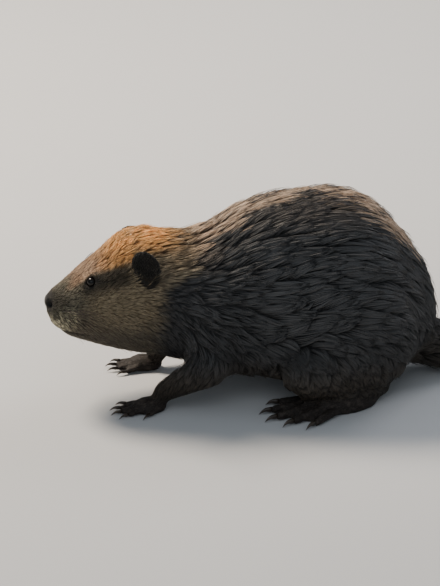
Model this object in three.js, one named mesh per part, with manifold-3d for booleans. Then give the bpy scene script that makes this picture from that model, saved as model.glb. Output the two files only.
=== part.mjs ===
// A life-size beaver, crouching on all fours with its back arched, its head low and its tail laid flat.
// Millimetres, +Z up. The nose points to -X and the animal's left side to -Y. It is modelled with x = 0 at
// the muzzle's front and z = 0 at the floor, and moved at the end so that the origin is the middle of its
// footprint.
import * as THREE from "three";
import { mergeVertices } from "three/addons/utils/BufferGeometryUtils.js";
import Module from "manifold-3d";

const wasm = await Module();
wasm.setup();

// ---- Driving dimensions ----

const GAP = 0.3; // between parts that touch
const SIDES = { left: -1, right: 1 };

// Where the body is parted, as distances from the nose tip.
const HEAD_END = { at: 150, lean: 0.22 }; // lean: how far the cut moves back per unit of height
const NECK_END = { at: 206, lean: 0.1 };
const CUT_HEIGHT = 150; // the height at which those distances are taken

// The head is rolled a little to its right side, round a line along the body. The neck takes up the twist.
const HEAD_ROLL = THREE.MathUtils.degToRad(8);
const ROLL_HEIGHT = 150;
const TWIST = { from: 95, to: 215 };

const RING_SIDES = 20;
const TAIL_RING_SIDES = 14;

// Cross-sections of head, neck and trunk out to the tips of the coat: x, the heights of the top, the bottom
// and the widest place, half the width there, and how square the two halves are (2 is an ellipse).
const BODY_SECTIONS = [
  { x: 2, top: 139, bottom: 120, wide: 131, half: 9, upper: 2, lower: 2 }, // nose
  { x: 6, top: 148, bottom: 111, wide: 130, half: 18, upper: 2.1, lower: 2.2 },
  { x: 14, top: 153.5, bottom: 101, wide: 127, half: 27, upper: 2.2, lower: 2.4 }, // upper lip
  { x: 30, top: 165.5, bottom: 88, wide: 122, half: 36, upper: 2.4, lower: 2.4 }, // muzzle and chin
  { x: 48, top: 179, bottom: 81, wide: 123, half: 45, upper: 2.7, lower: 2.3 }, // eyes
  { x: 72, top: 196.5, bottom: 72, wide: 126, half: 57, upper: 2.5, lower: 2.2 }, // brow and cheeks
  { x: 88, top: 211.5, bottom: 67, wide: 129, half: 63, upper: 2.3, lower: 2.2 },
  { x: 102, top: 223.5, bottom: 63, wide: 131, half: 68, upper: 2.1, lower: 2.2 }, // crown and jaw corner
  { x: 118, top: 229, bottom: 59, wide: 133, half: 71, upper: 2, lower: 2.2 }, // ears
  { x: 134, top: 230, bottom: 56, wide: 133, half: 73, upper: 2, lower: 2.2 },
  { x: 172, top: 221, bottom: 46, wide: 126, half: 82, upper: 2, lower: 2.2 }, // nape and throat
  { x: 205, top: 224, bottom: 36, wide: 114, half: 93, upper: 2, lower: 2.5 }, // shoulders
  { x: 240, top: 244, bottom: 26, wide: 106, half: 105, upper: 2, lower: 2.5 },
  { x: 280, top: 259, bottom: 20, wide: 102, half: 114, upper: 2, lower: 2.6 }, // ribs
  { x: 330, top: 265, bottom: 16, wide: 98, half: 122, upper: 2, lower: 2.6 },
  { x: 385, top: 266, bottom: 16, wide: 98, half: 127, upper: 2, lower: 2.5 }, // hips
  { x: 430, top: 248, bottom: 18, wide: 98, half: 120, upper: 2, lower: 2.4 },
  { x: 468, top: 211, bottom: 24, wide: 98, half: 102, upper: 2, lower: 2.2 }, // rump
  { x: 496, top: 170, bottom: 38, wide: 96, half: 76, upper: 2, lower: 2 },
  { x: 512, top: 138, bottom: 56, wide: 92, half: 44, upper: 2, lower: 2 },
  { x: 518, top: 108, bottom: 76, wide: 90, half: 14, upper: 2, lower: 2 },
];
const BODY_RINGS = [
  { to: 14, step: 4 },
  { to: 158, step: 12 },
  { to: 436, step: 31 },
  { to: 500, step: 16 },
  { to: 518, step: 6 },
];

// Swellings and hollows on both sides of the head: the place and its reach along and up, and the rise.
const HEAD_FORMS = [
  { x: 24, z: 120, along: 17, up: 15, rise: 3.5 }, // whisker pad
  { x: 92, z: 122, along: 28, up: 24, rise: 4 }, // cheek
  { x: 44, z: 148, along: 14, up: 11, rise: -3 }, // hollow under the eye
  { x: 56, z: 178, along: 16, up: 8, rise: 2 }, // brow
];

// The underside dips 1 mm under the floor and is cut off flat there.
const TAIL_SECTIONS = [
  { x: 462, top: 108, bottom: 20, wide: 62, half: 46, upper: 2, lower: 2 }, // root, inside the rump
  { x: 512, top: 82, bottom: 6, wide: 42, half: 42, upper: 2, lower: 2.4 },
  { x: 546, top: 52, bottom: -1, wide: 22, half: 34, upper: 2, lower: 3 },
  { x: 574, top: 33, bottom: -1, wide: 13, half: 29, upper: 2, lower: 4 }, // end of the fur
  { x: 602, top: 23, bottom: -1, wide: 7, half: 39, upper: 1.9, lower: 6 },
  { x: 646, top: 19, bottom: -1, wide: 4, half: 51, upper: 1.8, lower: 6 },
  { x: 700, top: 16, bottom: -1, wide: 3, half: 56, upper: 1.8, lower: 6 }, // widest place of the paddle
  { x: 757, top: 12, bottom: -1, wide: 3, half: 48, upper: 1.8, lower: 6 },
  { x: 794, top: 9, bottom: -1, wide: 2.5, half: 34, upper: 1.8, lower: 6 },
  { x: 812, top: 7, bottom: -1, wide: 2.5, half: 15, upper: 2, lower: 6 },
  { x: 816, top: 5, bottom: -1, wide: 2.5, half: 5, upper: 2, lower: 6 },
];
const TAIL_RINGS = [
  { to: 574, step: 28 },
  { to: 800, step: 32 },
  { to: 816, step: 5.5 },
];
const TAIL_SWING = { from: 520, sideways: -0.00042 }; // to the left, by this times the distance squared
const FUR_END = 575; // where the paddle begins

const NOSE = { x: 8, z: 135, radii: [9, 16, 12], tilt: 0.15 };
const NOSTRIL = { x: 3, y: 12.5, z: 133, radius: 4.4 };
const EYE = { x: 57, y: 35.8, z: 166, radius: 6.5 };
const EAR = {
  centre: [124, 64, 189.5],
  radii: [20, 6, 23],
  bowl: [16, 5.5, 19],
  bowlOut: 5.2, // how far out of the ear's middle the bowl lies
  turn: THREE.MathUtils.degToRad(14), // the bowl's turn forwards
  narrow: 0.5, // how much narrower its foot is than its middle
  rake: 0.12, // how far its top lies in front of its middle, and its foot behind, in half widths
  lean: THREE.MathUtils.degToRad(4),
};
const JAW = { front: 8, back: 84, frontHeight: 97, slope: -0.09, width: 140 };

// ---- Curves and lofts ----

const clamp01 = (t) => Math.min(1, Math.max(0, t));
const smoothstep = (t) => clamp01(t) ** 2 * (3 - 2 * clamp01(t));

// The slope of a smooth curve at the shared end of two straight stretches, so that it never overshoots.
const sharedSlope = (before, after) => (before * after <= 0 ? 0 : (2 * before * after) / (before + after));

// A smooth curve through one column of a table of sections, with no overshoot between them.
function profile(sections, key) {
  const xs = sections.map((section) => section.x);
  const ys = sections.map((section) => section[key]);
  const slopes = xs.slice(1).map((x, i) => (ys[i + 1] - ys[i]) / (x - xs[i]));
  const inner = slopes.slice(1).map((slope, i) => sharedSlope(slopes[i], slope));
  const tangents = [slopes[0], ...inner, slopes[slopes.length - 1]];
  return (x) => {
    const after = xs.findIndex((place, i) => i > 0 && place >= x);
    const i = after < 0 ? slopes.length - 1 : after - 1;
    const width = xs[i + 1] - xs[i];
    const t = clamp01((x - xs[i]) / width);
    const level = ys[i] + (ys[i + 1] - ys[i]) * smoothstep(t);
    return level + width * (tangents[i] * t * (1 - t) ** 2 - tangents[i + 1] * t * t * (1 - t));
  };
}

// The places of the rings: even steps in each stretch, from the first section on.
function ringPlaces(first, stretches) {
  const places = [first];
  for (const { to, step } of stretches) {
    const from = places[places.length - 1];
    const count = Math.max(1, Math.round((to - from) / step));
    for (let i = 1; i <= count; i++) {
      places.push(from + ((to - from) * i) / count);
    }
  }
  return places;
}

// A closed skin over cross-sections that stand upright on the X axis. Each of its points goes through shape.
function sectionLoft(sections, stretches, sides, shape) {
  const column = Object.fromEntries(
    ["top", "bottom", "wide", "half", "upper", "lower"].map((key) => [key, profile(sections, key)]),
  );
  const places = ringPlaces(sections[0].x, stretches);
  const points = [];
  const put = (x, y, z) => points.push(...shape(new THREE.Vector3(x, y, z)).toArray());
  for (const x of places) {
    const middle = column.wide(x);
    for (let i = 0; i < sides; i++) {
      const angle = (2 * Math.PI * i) / sides;
      const [c, s] = [Math.cos(angle), Math.sin(angle)];
      const square = s > 0 ? column.upper(x) : column.lower(x);
      const reach = s > 0 ? column.top(x) - middle : middle - column.bottom(x);
      const y = column.half(x) * Math.sign(c) * Math.abs(c) ** (2 / square);
      put(x, y, middle + reach * Math.sign(s) * Math.abs(s) ** (2 / square));
    }
  }
  const [first, last] = [places[0], places[places.length - 1]];
  put(first, 0, column.wide(first));
  put(last, 0, column.wide(last));
  const faces = [];
  const capStart = places.length * sides;
  for (let i = 0; i < sides; i++) {
    const next = (i + 1) % sides;
    faces.push(capStart, next, i);
    faces.push(capStart + 1, capStart - sides + i, capStart - sides + next);
    for (let k = 0; k < places.length - 1; k++) {
      const [near, far] = [k * sides, (k + 1) * sides];
      faces.push(near + i, near + next, far + next);
      faces.push(near + i, far + next, far + i);
    }
  }
  const geometry = new THREE.BufferGeometry();
  geometry.setAttribute("position", new THREE.Float32BufferAttribute(points, 3));
  geometry.setIndex(faces);
  return geometry;
}

// ---- Solids ----

function solidOf(geometry) {
  const bare = geometry.clone();
  bare.deleteAttribute("normal");
  bare.deleteAttribute("uv");
  const merged = mergeVertices(bare, 1e-3);
  const made = new wasm.Manifold(
    new wasm.Mesh({
      numProp: 3,
      vertProperties: merged.attributes.position.array,
      triVerts: new Uint32Array(merged.index.array),
    }),
  );
  return made;
}

function geometryOf(solid) {
  const mesh = solid.getMesh();
  const geometry = new THREE.BufferGeometry();
  geometry.setAttribute("position", new THREE.BufferAttribute(new Float32Array(mesh.vertProperties), 3));
  geometry.setIndex(new THREE.BufferAttribute(mesh.triVerts, 1));
  return geometry;
}

const joined = (solids) => solids.reduce((all, solid) => all.add(solid));
const without = (solid, cutters) => cutters.reduce((left, cutter) => left.subtract(cutter), solid);

// The part of a solid behind (way 1) or before (way -1) a leaning cut, less half the gap.
function cutAt(solid, { at, lean }, way) {
  const normal = new THREE.Vector3(way, 0, -way * lean).normalize();
  const point = new THREE.Vector3(at, 0, CUT_HEIGHT);
  return solid.trimByPlane(normal.toArray(), normal.dot(point) + GAP / 2);
}

const aboveFloor = (solid) => solid.trimByPlane([0, 0, 1], 0);

const asItIs = (point) => point;

// A geometry with each of its points moved.
function changed(geometry, change) {
  const places = geometry.attributes.position;
  const point = new THREE.Vector3();
  for (let i = 0; i < places.count; i++) {
    const moved = change(point.fromBufferAttribute(places, i));
    places.setXYZ(i, ...moved.toArray());
  }
  return geometry;
}

function ellipsoid(centre, radii, turns = [0, 0, 0], detail = [12, 8], grow = 0, outline = asItIs) {
  const geometry = changed(new THREE.SphereGeometry(1, ...detail), outline);
  geometry.scale(...radii.map((r) => r + grow));
  geometry.applyMatrix4(new THREE.Matrix4().makeRotationFromEuler(new THREE.Euler(...turns, "XYZ")));
  geometry.translate(...centre);
  return geometry;
}

// A straight limb with round ends, from one radius to another.
function limb(from, to, startRadius, endRadius, sides = 12, grow = 0) {
  const [start, end] = [new THREE.Vector3(...from), new THREE.Vector3(...to)];
  const length = start.distanceTo(end);
  const [r0, r1] = [startRadius + grow, endRadius + grow];
  const steps = sides > 8 ? 2 : 1;
  const outline = [];
  for (let i = 0; i <= steps; i++) {
    const a = (Math.PI / 2) * (i / steps);
    outline.push(new THREE.Vector2(r0 * Math.sin(a), -r0 * Math.cos(a)));
  }
  for (let i = 0; i <= steps; i++) {
    const a = (Math.PI / 2) * (i / steps);
    outline.push(new THREE.Vector2(r1 * Math.cos(a), length + r1 * Math.sin(a)));
  }
  outline[0].x = 0;
  outline[outline.length - 1].x = 0;
  const geometry = new THREE.LatheGeometry(outline, sides);
  const turn = new THREE.Quaternion().setFromUnitVectors(
    new THREE.Vector3(0, 1, 0),
    end.clone().sub(start).normalize(),
  );
  geometry.applyQuaternion(turn);
  geometry.translate(...start.toArray());
  return geometry;
}

// ---- Pose ----

// Rolls a point of the straight head and neck with the head.
function rolled(point) {
  const angle = HEAD_ROLL * (1 - smoothstep((point.x - TWIST.from) / (TWIST.to - TWIST.from)));
  const height = point.z - ROLL_HEIGHT;
  const [c, s] = [Math.cos(angle), Math.sin(angle)];
  return new THREE.Vector3(point.x, point.y * c + height * s, ROLL_HEIGHT + height * c - point.y * s);
}

const withHead = (geometry) => changed(geometry, rolled);

// ---- Head, neck and trunk ----

function withForms(point) {
  const centre = new THREE.Vector3(point.x, 0, 140);
  const out = point.clone().sub(centre).normalize();
  for (const form of HEAD_FORMS) {
    const far = ((point.x - form.x) / form.along) ** 2 + ((point.z - form.z) / form.up) ** 2;
    point.addScaledVector(out, form.rise * Math.exp(-far) * Math.abs(out.y));
  }
  return point;
}

const torso = solidOf(sectionLoft(BODY_SECTIONS, BODY_RINGS, RING_SIDES, (p) => rolled(withForms(p))));

const headBall = (centre, radii, turns, detail, grow, outline) =>
  solidOf(withHead(ellipsoid(centre, radii, turns, detail, grow, outline)));
const evenly = (radius) => [radius, radius, radius];

const nosePad = (grow) => headBall([NOSE.x, 0, NOSE.z], NOSE.radii, [0, NOSE.tilt, 0], [12, 7], grow);

function nostril(side) {
  return headBall([NOSTRIL.x, side * NOSTRIL.y, NOSTRIL.z], evenly(NOSTRIL.radius), [0, 0, 0], [8, 5], 0);
}

function eye(side, grow) {
  return headBall([EYE.x, side * EYE.y, EYE.z], evenly(EYE.radius), [0, 0, 0], [10, 7], grow);
}

// The ear's outline on a unit ball: narrower towards its foot, which lies behind its top.
const earOutline = (point) => {
  const low = Math.max(0, -point.z);
  return point.set(point.x * (1 - EAR.narrow * low) - point.z * EAR.rake, point.y, point.z);
};

// A round ear with its bowl open outwards and a little forwards, or the whole shape that its seat is cut by.
function ear(side, grow) {
  const turns = [-side * EAR.lean, 0, side * EAR.turn];
  const [x, y, z] = EAR.centre;
  const shell = headBall([x, side * y, z], EAR.radii, turns, [12, 8], grow, earOutline);
  if (grow > 0) {
    return shell;
  }
  const outwards = new THREE.Vector3(0, side * EAR.bowlOut, 0).applyEuler(new THREE.Euler(...turns, "XYZ"));
  const bowlCentre = outwards.add(new THREE.Vector3(x, side * y, z));
  return shell.subtract(headBall(bowlCentre.toArray(), EAR.bowl, turns, [10, 7], 0, earOutline));
}

// The wedge of the muzzle that belongs to the lower jaw.
function jawWedge(grow) {
  const length = JAW.back - JAW.front + 2 * grow;
  const box = new THREE.BoxGeometry(length, JAW.width, 80);
  box.translate(length / 2, 0, -40 + grow);
  box.rotateY(-Math.atan(JAW.slope));
  box.translate(JAW.front - grow, 0, JAW.frontHeight);
  return solidOf(withHead(box));
}

// ---- Tail ----

function swung(point) {
  const along = Math.max(0, point.x - TAIL_SWING.from);
  point.y += TAIL_SWING.sideways * along * along;
  return point;
}

function tailLoft(grow) {
  const sections = TAIL_SECTIONS.map((section) => ({
    ...section,
    top: section.top + grow,
    bottom: section.bottom - grow,
    half: section.half + grow,
  }));
  return solidOf(sectionLoft(sections, TAIL_RINGS, TAIL_RING_SIDES, swung));
}

// ---- Legs ----

const FORELEG = {
  shoulder: { centre: [230, 68, 110], radii: [64, 35, 72], tilt: 0.25 },
  jointDrop: 20, // how far the upper arm starts below the shoulder's middle
  elbow: [204, 86, 62],
  wrist: [152, 66, 24],
  upperRadius: 32,
  elbowRadius: 27,
  wristRadius: 14,
  stride: { left: -8, right: 8 }, // how far each forepaw is moved back
};
const HINDLEG = {
  thigh: { centre: [392, 86, 98], radii: [88, 54, 90], tilt: 0.3 },
  knee: [330, 108, 58],
  heel: [420, 92, 26],
  kneeRadius: 40,
  heelRadius: 20,
};

// Feet lie along their own x from the wrist or heel to the toes, with their soles on the floor.
const FOREPAW = {
  palm: { length: 38, half: 17, height: 19 },
  splay: 8,
  digits: [
    { angle: 36, from: 12, length: 15, radius: 4.4 },
    { angle: 16, from: 26, length: 25, radius: 4.8 },
    { angle: 3, from: 28, length: 28, radius: 5 },
    { angle: -10, from: 27, length: 27, radius: 4.9 },
    { angle: -26, from: 23, length: 22, radius: 4.6 },
  ],
  spread: 12,
  claw: { length: 13, radius: 2.5 },
};
const HINDFOOT = {
  palm: { length: 92, half: 26, height: 30 },
  splay: 14,
  digits: [
    { angle: 24, from: 62, length: 46, radius: 6.2 },
    { angle: 13, from: 74, length: 54, radius: 6.8 },
    { angle: 2, from: 80, length: 60, radius: 7.2 },
    { angle: -9, from: 78, length: 60, radius: 7.2 },
    { angle: -21, from: 68, length: 54, radius: 6.6 },
  ],
  spread: 20,
  claw: { length: 16, radius: 3.8 },
  web: { from: 40, reach: 0.74, thick: 4 }, // reach: how far along the toes it goes
};
const PALM_SINK = 0.35; // how much of a palm's rounded underside is below its sole
const PALM_BEYOND = 6; // how far a palm reaches past both its ends
const DIGIT_TAPER = { root: 1.08, tip: 0.86 };
const DIGIT_SIDES = 6;
const CLAW = {
  middle: 0.62, // its radius halfway, of the radius at its root
  narrow: 0.75, // its width, of its height
  above: 0.8, // how far its root is above the digit's middle
  rooted: 0.55, // where it starts, of the digit's radius past its end
  tipHeight: 0.9,
};

// Where each digit starts and ends in the foot's own plane, its height following its radius.
function digitLines(foot) {
  return foot.digits.map((digit, i) => {
    const across = foot.spread * (1 - (2 * i) / (foot.digits.length - 1));
    const angle = THREE.MathUtils.degToRad(digit.angle);
    const start = [digit.from, across, digit.radius * 1.5];
    const end = [
      digit.from + digit.length * Math.cos(angle),
      across + digit.length * Math.sin(angle),
      digit.radius * 0.82,
    ];
    return { start, end, angle, radius: digit.radius };
  });
}

// Sets a foot's shape down where it stands: its own x points forwards, and its inner side to the middle.
function placed(geometry, anchor, side, splay) {
  geometry.rotateZ(Math.PI + side * THREE.MathUtils.degToRad(-splay));
  geometry.translate(anchor[0], anchor[1], 0);
  return geometry;
}

function mirrored(points, side) {
  return points.map(([x, y, z]) => [x, side > 0 ? -y : y, z]);
}

function palmOf({ length, half, height }, grow) {
  const centre = [length / 2, 0, height * (0.5 - PALM_SINK / 2)];
  const radii = [length / 2 + PALM_BEYOND, half, height * (0.5 + PALM_SINK / 2)];
  return ellipsoid(centre, radii, [0, 0, 0], [10, 6], grow);
}

function digitOf({ start, end, radius }, side, grow) {
  const [from, to] = mirrored([start, end], side);
  return limb(from, to, radius * DIGIT_TAPER.root, radius * DIGIT_TAPER.tip, DIGIT_SIDES, grow);
}

// The web's edge runs from toe to toe, at the same share of each.
function webOf(foot, lines, side, grow) {
  const between = (from, to) => from + (to - from) * foot.web.reach;
  const corners = lines.map(({ start, end }) => start.map((from, axis) => between(from, end[axis])));
  const outline = mirrored([[foot.web.from, 0, 0], ...corners], side);
  const shape = new THREE.Shape(outline.map(([x, y]) => new THREE.Vector2(x, y)));
  return new THREE.ExtrudeGeometry(shape, { depth: foot.web.thick + grow, bevelEnabled: false });
}

function footSolid(foot, anchor, side, grow) {
  const lines = digitLines(foot);
  const shapes = [palmOf(foot.palm, grow), ...lines.map((line) => digitOf(line, side, grow))];
  if (foot.web) {
    shapes.push(webOf(foot, lines, side, grow));
  }
  return aboveFloor(joined(shapes.map((shape) => solidOf(placed(shape, anchor, side, foot.splay)))));
}

// A claw curves down from the tip of its digit, which it is cut to fit.
function claw(foot, line, anchor, side) {
  const { length, radius } = foot.claw;
  const [from, to] = mirrored([line.start, line.end], side);
  const tip = new THREE.Vector3(...to);
  const along = tip.clone().sub(new THREE.Vector3(...from)).setZ(0).normalize();
  const sideways = new THREE.Vector3(along.y, -along.x, 0);
  const outline = [
    new THREE.Vector2(0, 0),
    new THREE.Vector2(radius, 0),
    new THREE.Vector2(radius * CLAW.middle, length / 2),
    new THREE.Vector2(0, length),
  ];
  const geometry = new THREE.LatheGeometry(outline, 6);
  const places = geometry.attributes.position;
  const rootHeight = to[2] + CLAW.above;
  for (let i = 0; i < places.count; i++) {
    const t = places.getY(i) / length;
    const point = tip
      .clone()
      .addScaledVector(along, line.radius * CLAW.rooted + places.getY(i))
      .addScaledVector(sideways, places.getX(i) * CLAW.narrow)
      .setZ(rootHeight + places.getZ(i) - (rootHeight - CLAW.tipHeight) * t * t);
    places.setXYZ(i, ...point.toArray());
  }
  const digit = solidOf(placed(digitOf(line, side, GAP), anchor, side, foot.splay));
  return aboveFloor(solidOf(placed(geometry, anchor, side, foot.splay)).subtract(digit));
}

const onSide = ([x, y, z], side, back = 0) => [x + back, side * y, z];

function forelegSolid(name, grow) {
  const side = SIDES[name];
  const back = FORELEG.stride[name];
  const [x, y, z] = FORELEG.shoulder.centre;
  const joint = onSide([x, y, z - FORELEG.jointDrop], side);
  const elbow = onSide(FORELEG.elbow, side, back / 2);
  const wrist = onSide(FORELEG.wrist, side, back);
  const shapes = [
    ellipsoid(onSide([x, y, z], side), FORELEG.shoulder.radii, [0, FORELEG.shoulder.tilt, 0], [12, 7], grow),
    limb(joint, elbow, FORELEG.upperRadius, FORELEG.elbowRadius, 9, grow),
    limb(elbow, wrist, FORELEG.elbowRadius, FORELEG.wristRadius, 9, grow),
  ];
  return joined(shapes.map(solidOf));
}

function hindlegSolid(name, grow) {
  const side = SIDES[name];
  const { centre, radii, tilt } = HINDLEG.thigh;
  const [knee, heel] = [onSide(HINDLEG.knee, side), onSide(HINDLEG.heel, side)];
  const shapes = [
    ellipsoid(onSide(centre, side), radii, [0, tilt, 0], [14, 9], grow),
    limb(knee, heel, HINDLEG.kneeRadius, HINDLEG.heelRadius, 10, grow),
  ];
  return joined(shapes.map(solidOf));
}

// ---- Colours ----

const COATS = {
  crown: { color: 0x8a5a34, roughness: 0.75 },
  face: { color: 0x5d4c3b, roughness: 0.75 },
  back: { color: 0x3d3029, roughness: 0.6 },
  skin: { color: 0x2a2320, roughness: 0.7 },
  scales: { color: 0x2e2a28, roughness: 0.55 },
  eye: { color: 0x0d0a08, roughness: 0.08 },
  claw: { color: 0x3a3029, roughness: 0.4 },
};

// ---- The animal ----

const animal = new THREE.Group();
const beaver = new THREE.Group();
animal.add(beaver);

function addPart(name, solid, coat) {
  const material = new THREE.MeshStandardMaterial({ ...COATS[coat], metalness: 0 });
  const mesh = new THREE.Mesh(geometryOf(solid), material);
  mesh.name = name;
  beaver.add(mesh);
}

const names = Object.keys(SIDES);
const headWhole = cutAt(torso, HEAD_END, -1);
const seats = names.flatMap((name) => [eye(SIDES[name], GAP), ear(SIDES[name], GAP)]);
addPart("head", without(headWhole, [nosePad(GAP), jawWedge(GAP), ...seats]), "face");
addPart("lower_jaw", without(headWhole.intersect(jawWedge(0)), [nosePad(GAP)]), "face");
addPart("nose", without(nosePad(0), Object.values(SIDES).map(nostril)), "skin");
for (const name of names) {
  addPart("eye_" + name, eye(SIDES[name], 0), "eye");
  addPart("ear_" + name, ear(SIDES[name], 0), "skin");
}

const legCutters = [];

function addLimb(label, name, foot, footName, anchor, leg) {
  const side = SIDES[name];
  const seat = footSolid(foot, anchor, side, GAP);
  addPart(`${footName}_${name}`, footSolid(foot, anchor, side, 0), "skin");
  digitLines(foot).forEach((line, i) => {
    addPart(`claw_${label}_${name}_${i + 1}`, claw(foot, line, anchor, side), "claw");
  });
  addPart(`${label}leg_${name}`, aboveFloor(leg(name, 0)).subtract(seat), "back");
  legCutters.push(leg(name, GAP), seat);
}

for (const name of names) {
  const wrist = onSide(FORELEG.wrist, SIDES[name], FORELEG.stride[name]);
  const heel = onSide(HINDLEG.heel, SIDES[name]);
  addLimb("fore", name, FOREPAW, "forepaw", wrist, forelegSolid);
  addLimb("hind", name, HINDFOOT, "hindfoot", heel, hindlegSolid);
}

const tail = aboveFloor(tailLoft(0));
const neckAndTrunk = cutAt(torso, HEAD_END, 1);
addPart("neck", without(cutAt(neckAndTrunk, NECK_END, -1), legCutters), "crown");
addPart("trunk", without(cutAt(neckAndTrunk, NECK_END, 1), [...legCutters, tailLoft(GAP)]), "back");
addPart("tail_root", without(tail.trimByPlane([-1, 0, 0], -(FUR_END - GAP / 2)), legCutters), "back");
addPart("tail_paddle", tail.trimByPlane([1, 0, 0], FUR_END + GAP / 2), "scales");

const box = new THREE.Box3().setFromObject(beaver);
beaver.position.set(-(box.min.x + box.max.x) / 2, -(box.min.y + box.max.y) / 2, -box.min.z);

export default animal;
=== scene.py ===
"""A life-size beaver: one hide with a wet coat of fur locks, a scaly tail, eyes, whiskers and claws."""

import logging
import math
from dataclasses import dataclass, field
from enum import Enum
from typing import Any, Sequence

import bmesh
import bpy
import numpy as np
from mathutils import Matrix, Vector
from mathutils.bvhtree import BVHTree
from mathutils.kdtree import KDTree


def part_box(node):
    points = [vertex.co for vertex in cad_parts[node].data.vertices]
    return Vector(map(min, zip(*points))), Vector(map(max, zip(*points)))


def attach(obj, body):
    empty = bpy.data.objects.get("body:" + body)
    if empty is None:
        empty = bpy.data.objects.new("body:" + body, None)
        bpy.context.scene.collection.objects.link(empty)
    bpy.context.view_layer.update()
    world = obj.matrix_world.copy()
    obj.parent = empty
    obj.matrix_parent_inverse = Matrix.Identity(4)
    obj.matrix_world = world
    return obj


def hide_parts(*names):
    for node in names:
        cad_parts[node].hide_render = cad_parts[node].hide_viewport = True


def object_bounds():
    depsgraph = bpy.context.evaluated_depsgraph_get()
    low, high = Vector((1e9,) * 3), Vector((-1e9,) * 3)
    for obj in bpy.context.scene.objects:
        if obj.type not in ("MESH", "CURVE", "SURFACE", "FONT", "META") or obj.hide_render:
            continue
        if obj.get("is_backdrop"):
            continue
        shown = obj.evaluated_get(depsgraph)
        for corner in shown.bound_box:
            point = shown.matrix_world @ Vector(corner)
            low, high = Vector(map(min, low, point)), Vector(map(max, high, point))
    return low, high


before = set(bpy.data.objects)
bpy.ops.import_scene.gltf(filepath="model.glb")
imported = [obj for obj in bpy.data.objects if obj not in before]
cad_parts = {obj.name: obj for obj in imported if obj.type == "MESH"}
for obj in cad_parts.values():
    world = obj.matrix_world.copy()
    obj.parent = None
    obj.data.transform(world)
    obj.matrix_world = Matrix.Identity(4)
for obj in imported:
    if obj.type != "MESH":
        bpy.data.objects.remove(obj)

Colour = tuple[float, float, float]
MM = 0.001
SIDES = {"left": -1.0, "right": 1.0}
LOG = logging.getLogger("beaver")


class Slot(Enum):
    """The record's material slots."""

    FUR = "fur"
    SKIN = "skin"
    SCALES = "scales"
    CLAW = "claw"
    EYE = "eye"


# ---- Small maths ----


def unit(vectors: np.ndarray) -> np.ndarray:
    """Vectors scaled to length one."""
    return vectors / (np.linalg.norm(vectors, axis=-1, keepdims=True) + 1e-12)


def ramp(values: np.ndarray | float, low: float, high: float) -> np.ndarray | float:
    """A soft step: 0 up to low and 1 from high on."""
    t = np.clip((values - low) / (high - low), 0.0, 1.0)
    return t * t * (3.0 - 2.0 * t)


def tangent(vectors: np.ndarray, normals: np.ndarray) -> np.ndarray:
    """The unit vectors nearest to the given ones that lie in the surface."""
    return unit(vectors - normals * np.sum(vectors * normals, axis=-1, keepdims=True))


def through(places: Sequence[tuple[float, float]], at: np.ndarray) -> np.ndarray:
    """Values between (place, value) pairs, level beyond the ends."""
    return np.interp(at, [p for p, _ in places], [v for _, v in places])


# ---- Landmarks ----


def middle(node: str) -> np.ndarray:
    """The middle of a CAD node's box."""
    low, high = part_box(node)
    return np.array((low + high) / 2)


@dataclass(frozen=True)
class Head:
    """The head's own axes: back from the eyes, to its left and up.

    Attributes:
        origin: The place midway between the eyes.
        axes: Rows of unit vectors: back, left, up.
    """

    origin: np.ndarray
    axes: np.ndarray

    @classmethod
    def read(cls) -> "Head":
        """The head's axes, from the places of the eyes.

        Returns:
            The axes, with their origin.
        """
        left_eye, right_eye = middle("eye_left"), middle("eye_right")
        back = np.array((1.0, 0.0, 0.0))
        left = left_eye - right_eye
        left = unit(left - back * left.dot(back))
        return cls((left_eye + right_eye) / 2, np.array((back, left, np.cross(left, back))))

    def local(self, points: np.ndarray) -> np.ndarray:
        """Points of the row frame in the head's axes."""
        return (points - self.origin) @ self.axes.T

    def world(self, points: np.ndarray | Sequence[float]) -> np.ndarray:
        """Points of the head's axes in the row frame."""
        return np.asarray(points) @ self.axes + self.origin


HEAD = Head.read()
NOSE_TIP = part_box("nose")[0].x
TAIL_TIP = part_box("tail_paddle")[1].x


# ---- Shader tools ----


@dataclass(frozen=True)
class Wire:
    """A number that changes over a surface, so that shader maths reads as arithmetic.

    Attributes:
        graph: The graph that it belongs to.
        socket: The output socket that carries it.
    """

    graph: "Graph"
    socket: bpy.types.NodeSocket

    def _maths(self, operation: str, first: Any, second: Any) -> "Wire":
        """A Math node on two values."""
        node = self.graph.node("ShaderNodeMath", {"operation": operation}, {0: first, 1: second})
        return self.graph.wire(node)

    def __add__(self, other: "Wire | float") -> "Wire":
        """Sum."""
        return self._maths("ADD", self, other)

    __radd__ = __add__

    def __sub__(self, other: "Wire | float") -> "Wire":
        """Difference."""
        return self._maths("SUBTRACT", self, other)

    def __rsub__(self, other: float) -> "Wire":
        """Difference from a number."""
        return self._maths("SUBTRACT", other, self)

    def __mul__(self, other: "Wire | float") -> "Wire":
        """Product."""
        return self._maths("MULTIPLY", self, other)

    __rmul__ = __mul__

    def __pow__(self, other: float) -> "Wire":
        """Power."""
        return self._maths("POWER", self, other)

    def __abs__(self) -> "Wire":
        """Size without sign."""
        return self._maths("ABSOLUTE", self, 0.0)

    def at_least(self, other: "Wire | float") -> "Wire":
        """The larger of the two."""
        return self._maths("MAXIMUM", self, other)

    def step(self, low: float, high: float) -> "Wire":
        """A soft step from 0 at low to 1 at high.

        Args:
            low: Where it leaves 0.
            high: Where it reaches 1.

        Returns:
            The step.
        """
        settings = {"interpolation_type": "SMOOTHSTEP"}
        values = {"Value": self, "From Min": low, "From Max": high}
        return self.graph.wire(self.graph.node("ShaderNodeMapRange", settings, values))

    def band(self, rise: tuple[float, float], fall: tuple[float, float]) -> "Wire":
        """A soft step up and, further on, a soft step down."""
        return self.step(*rise) * (1.0 - self.step(*fall))


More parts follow.
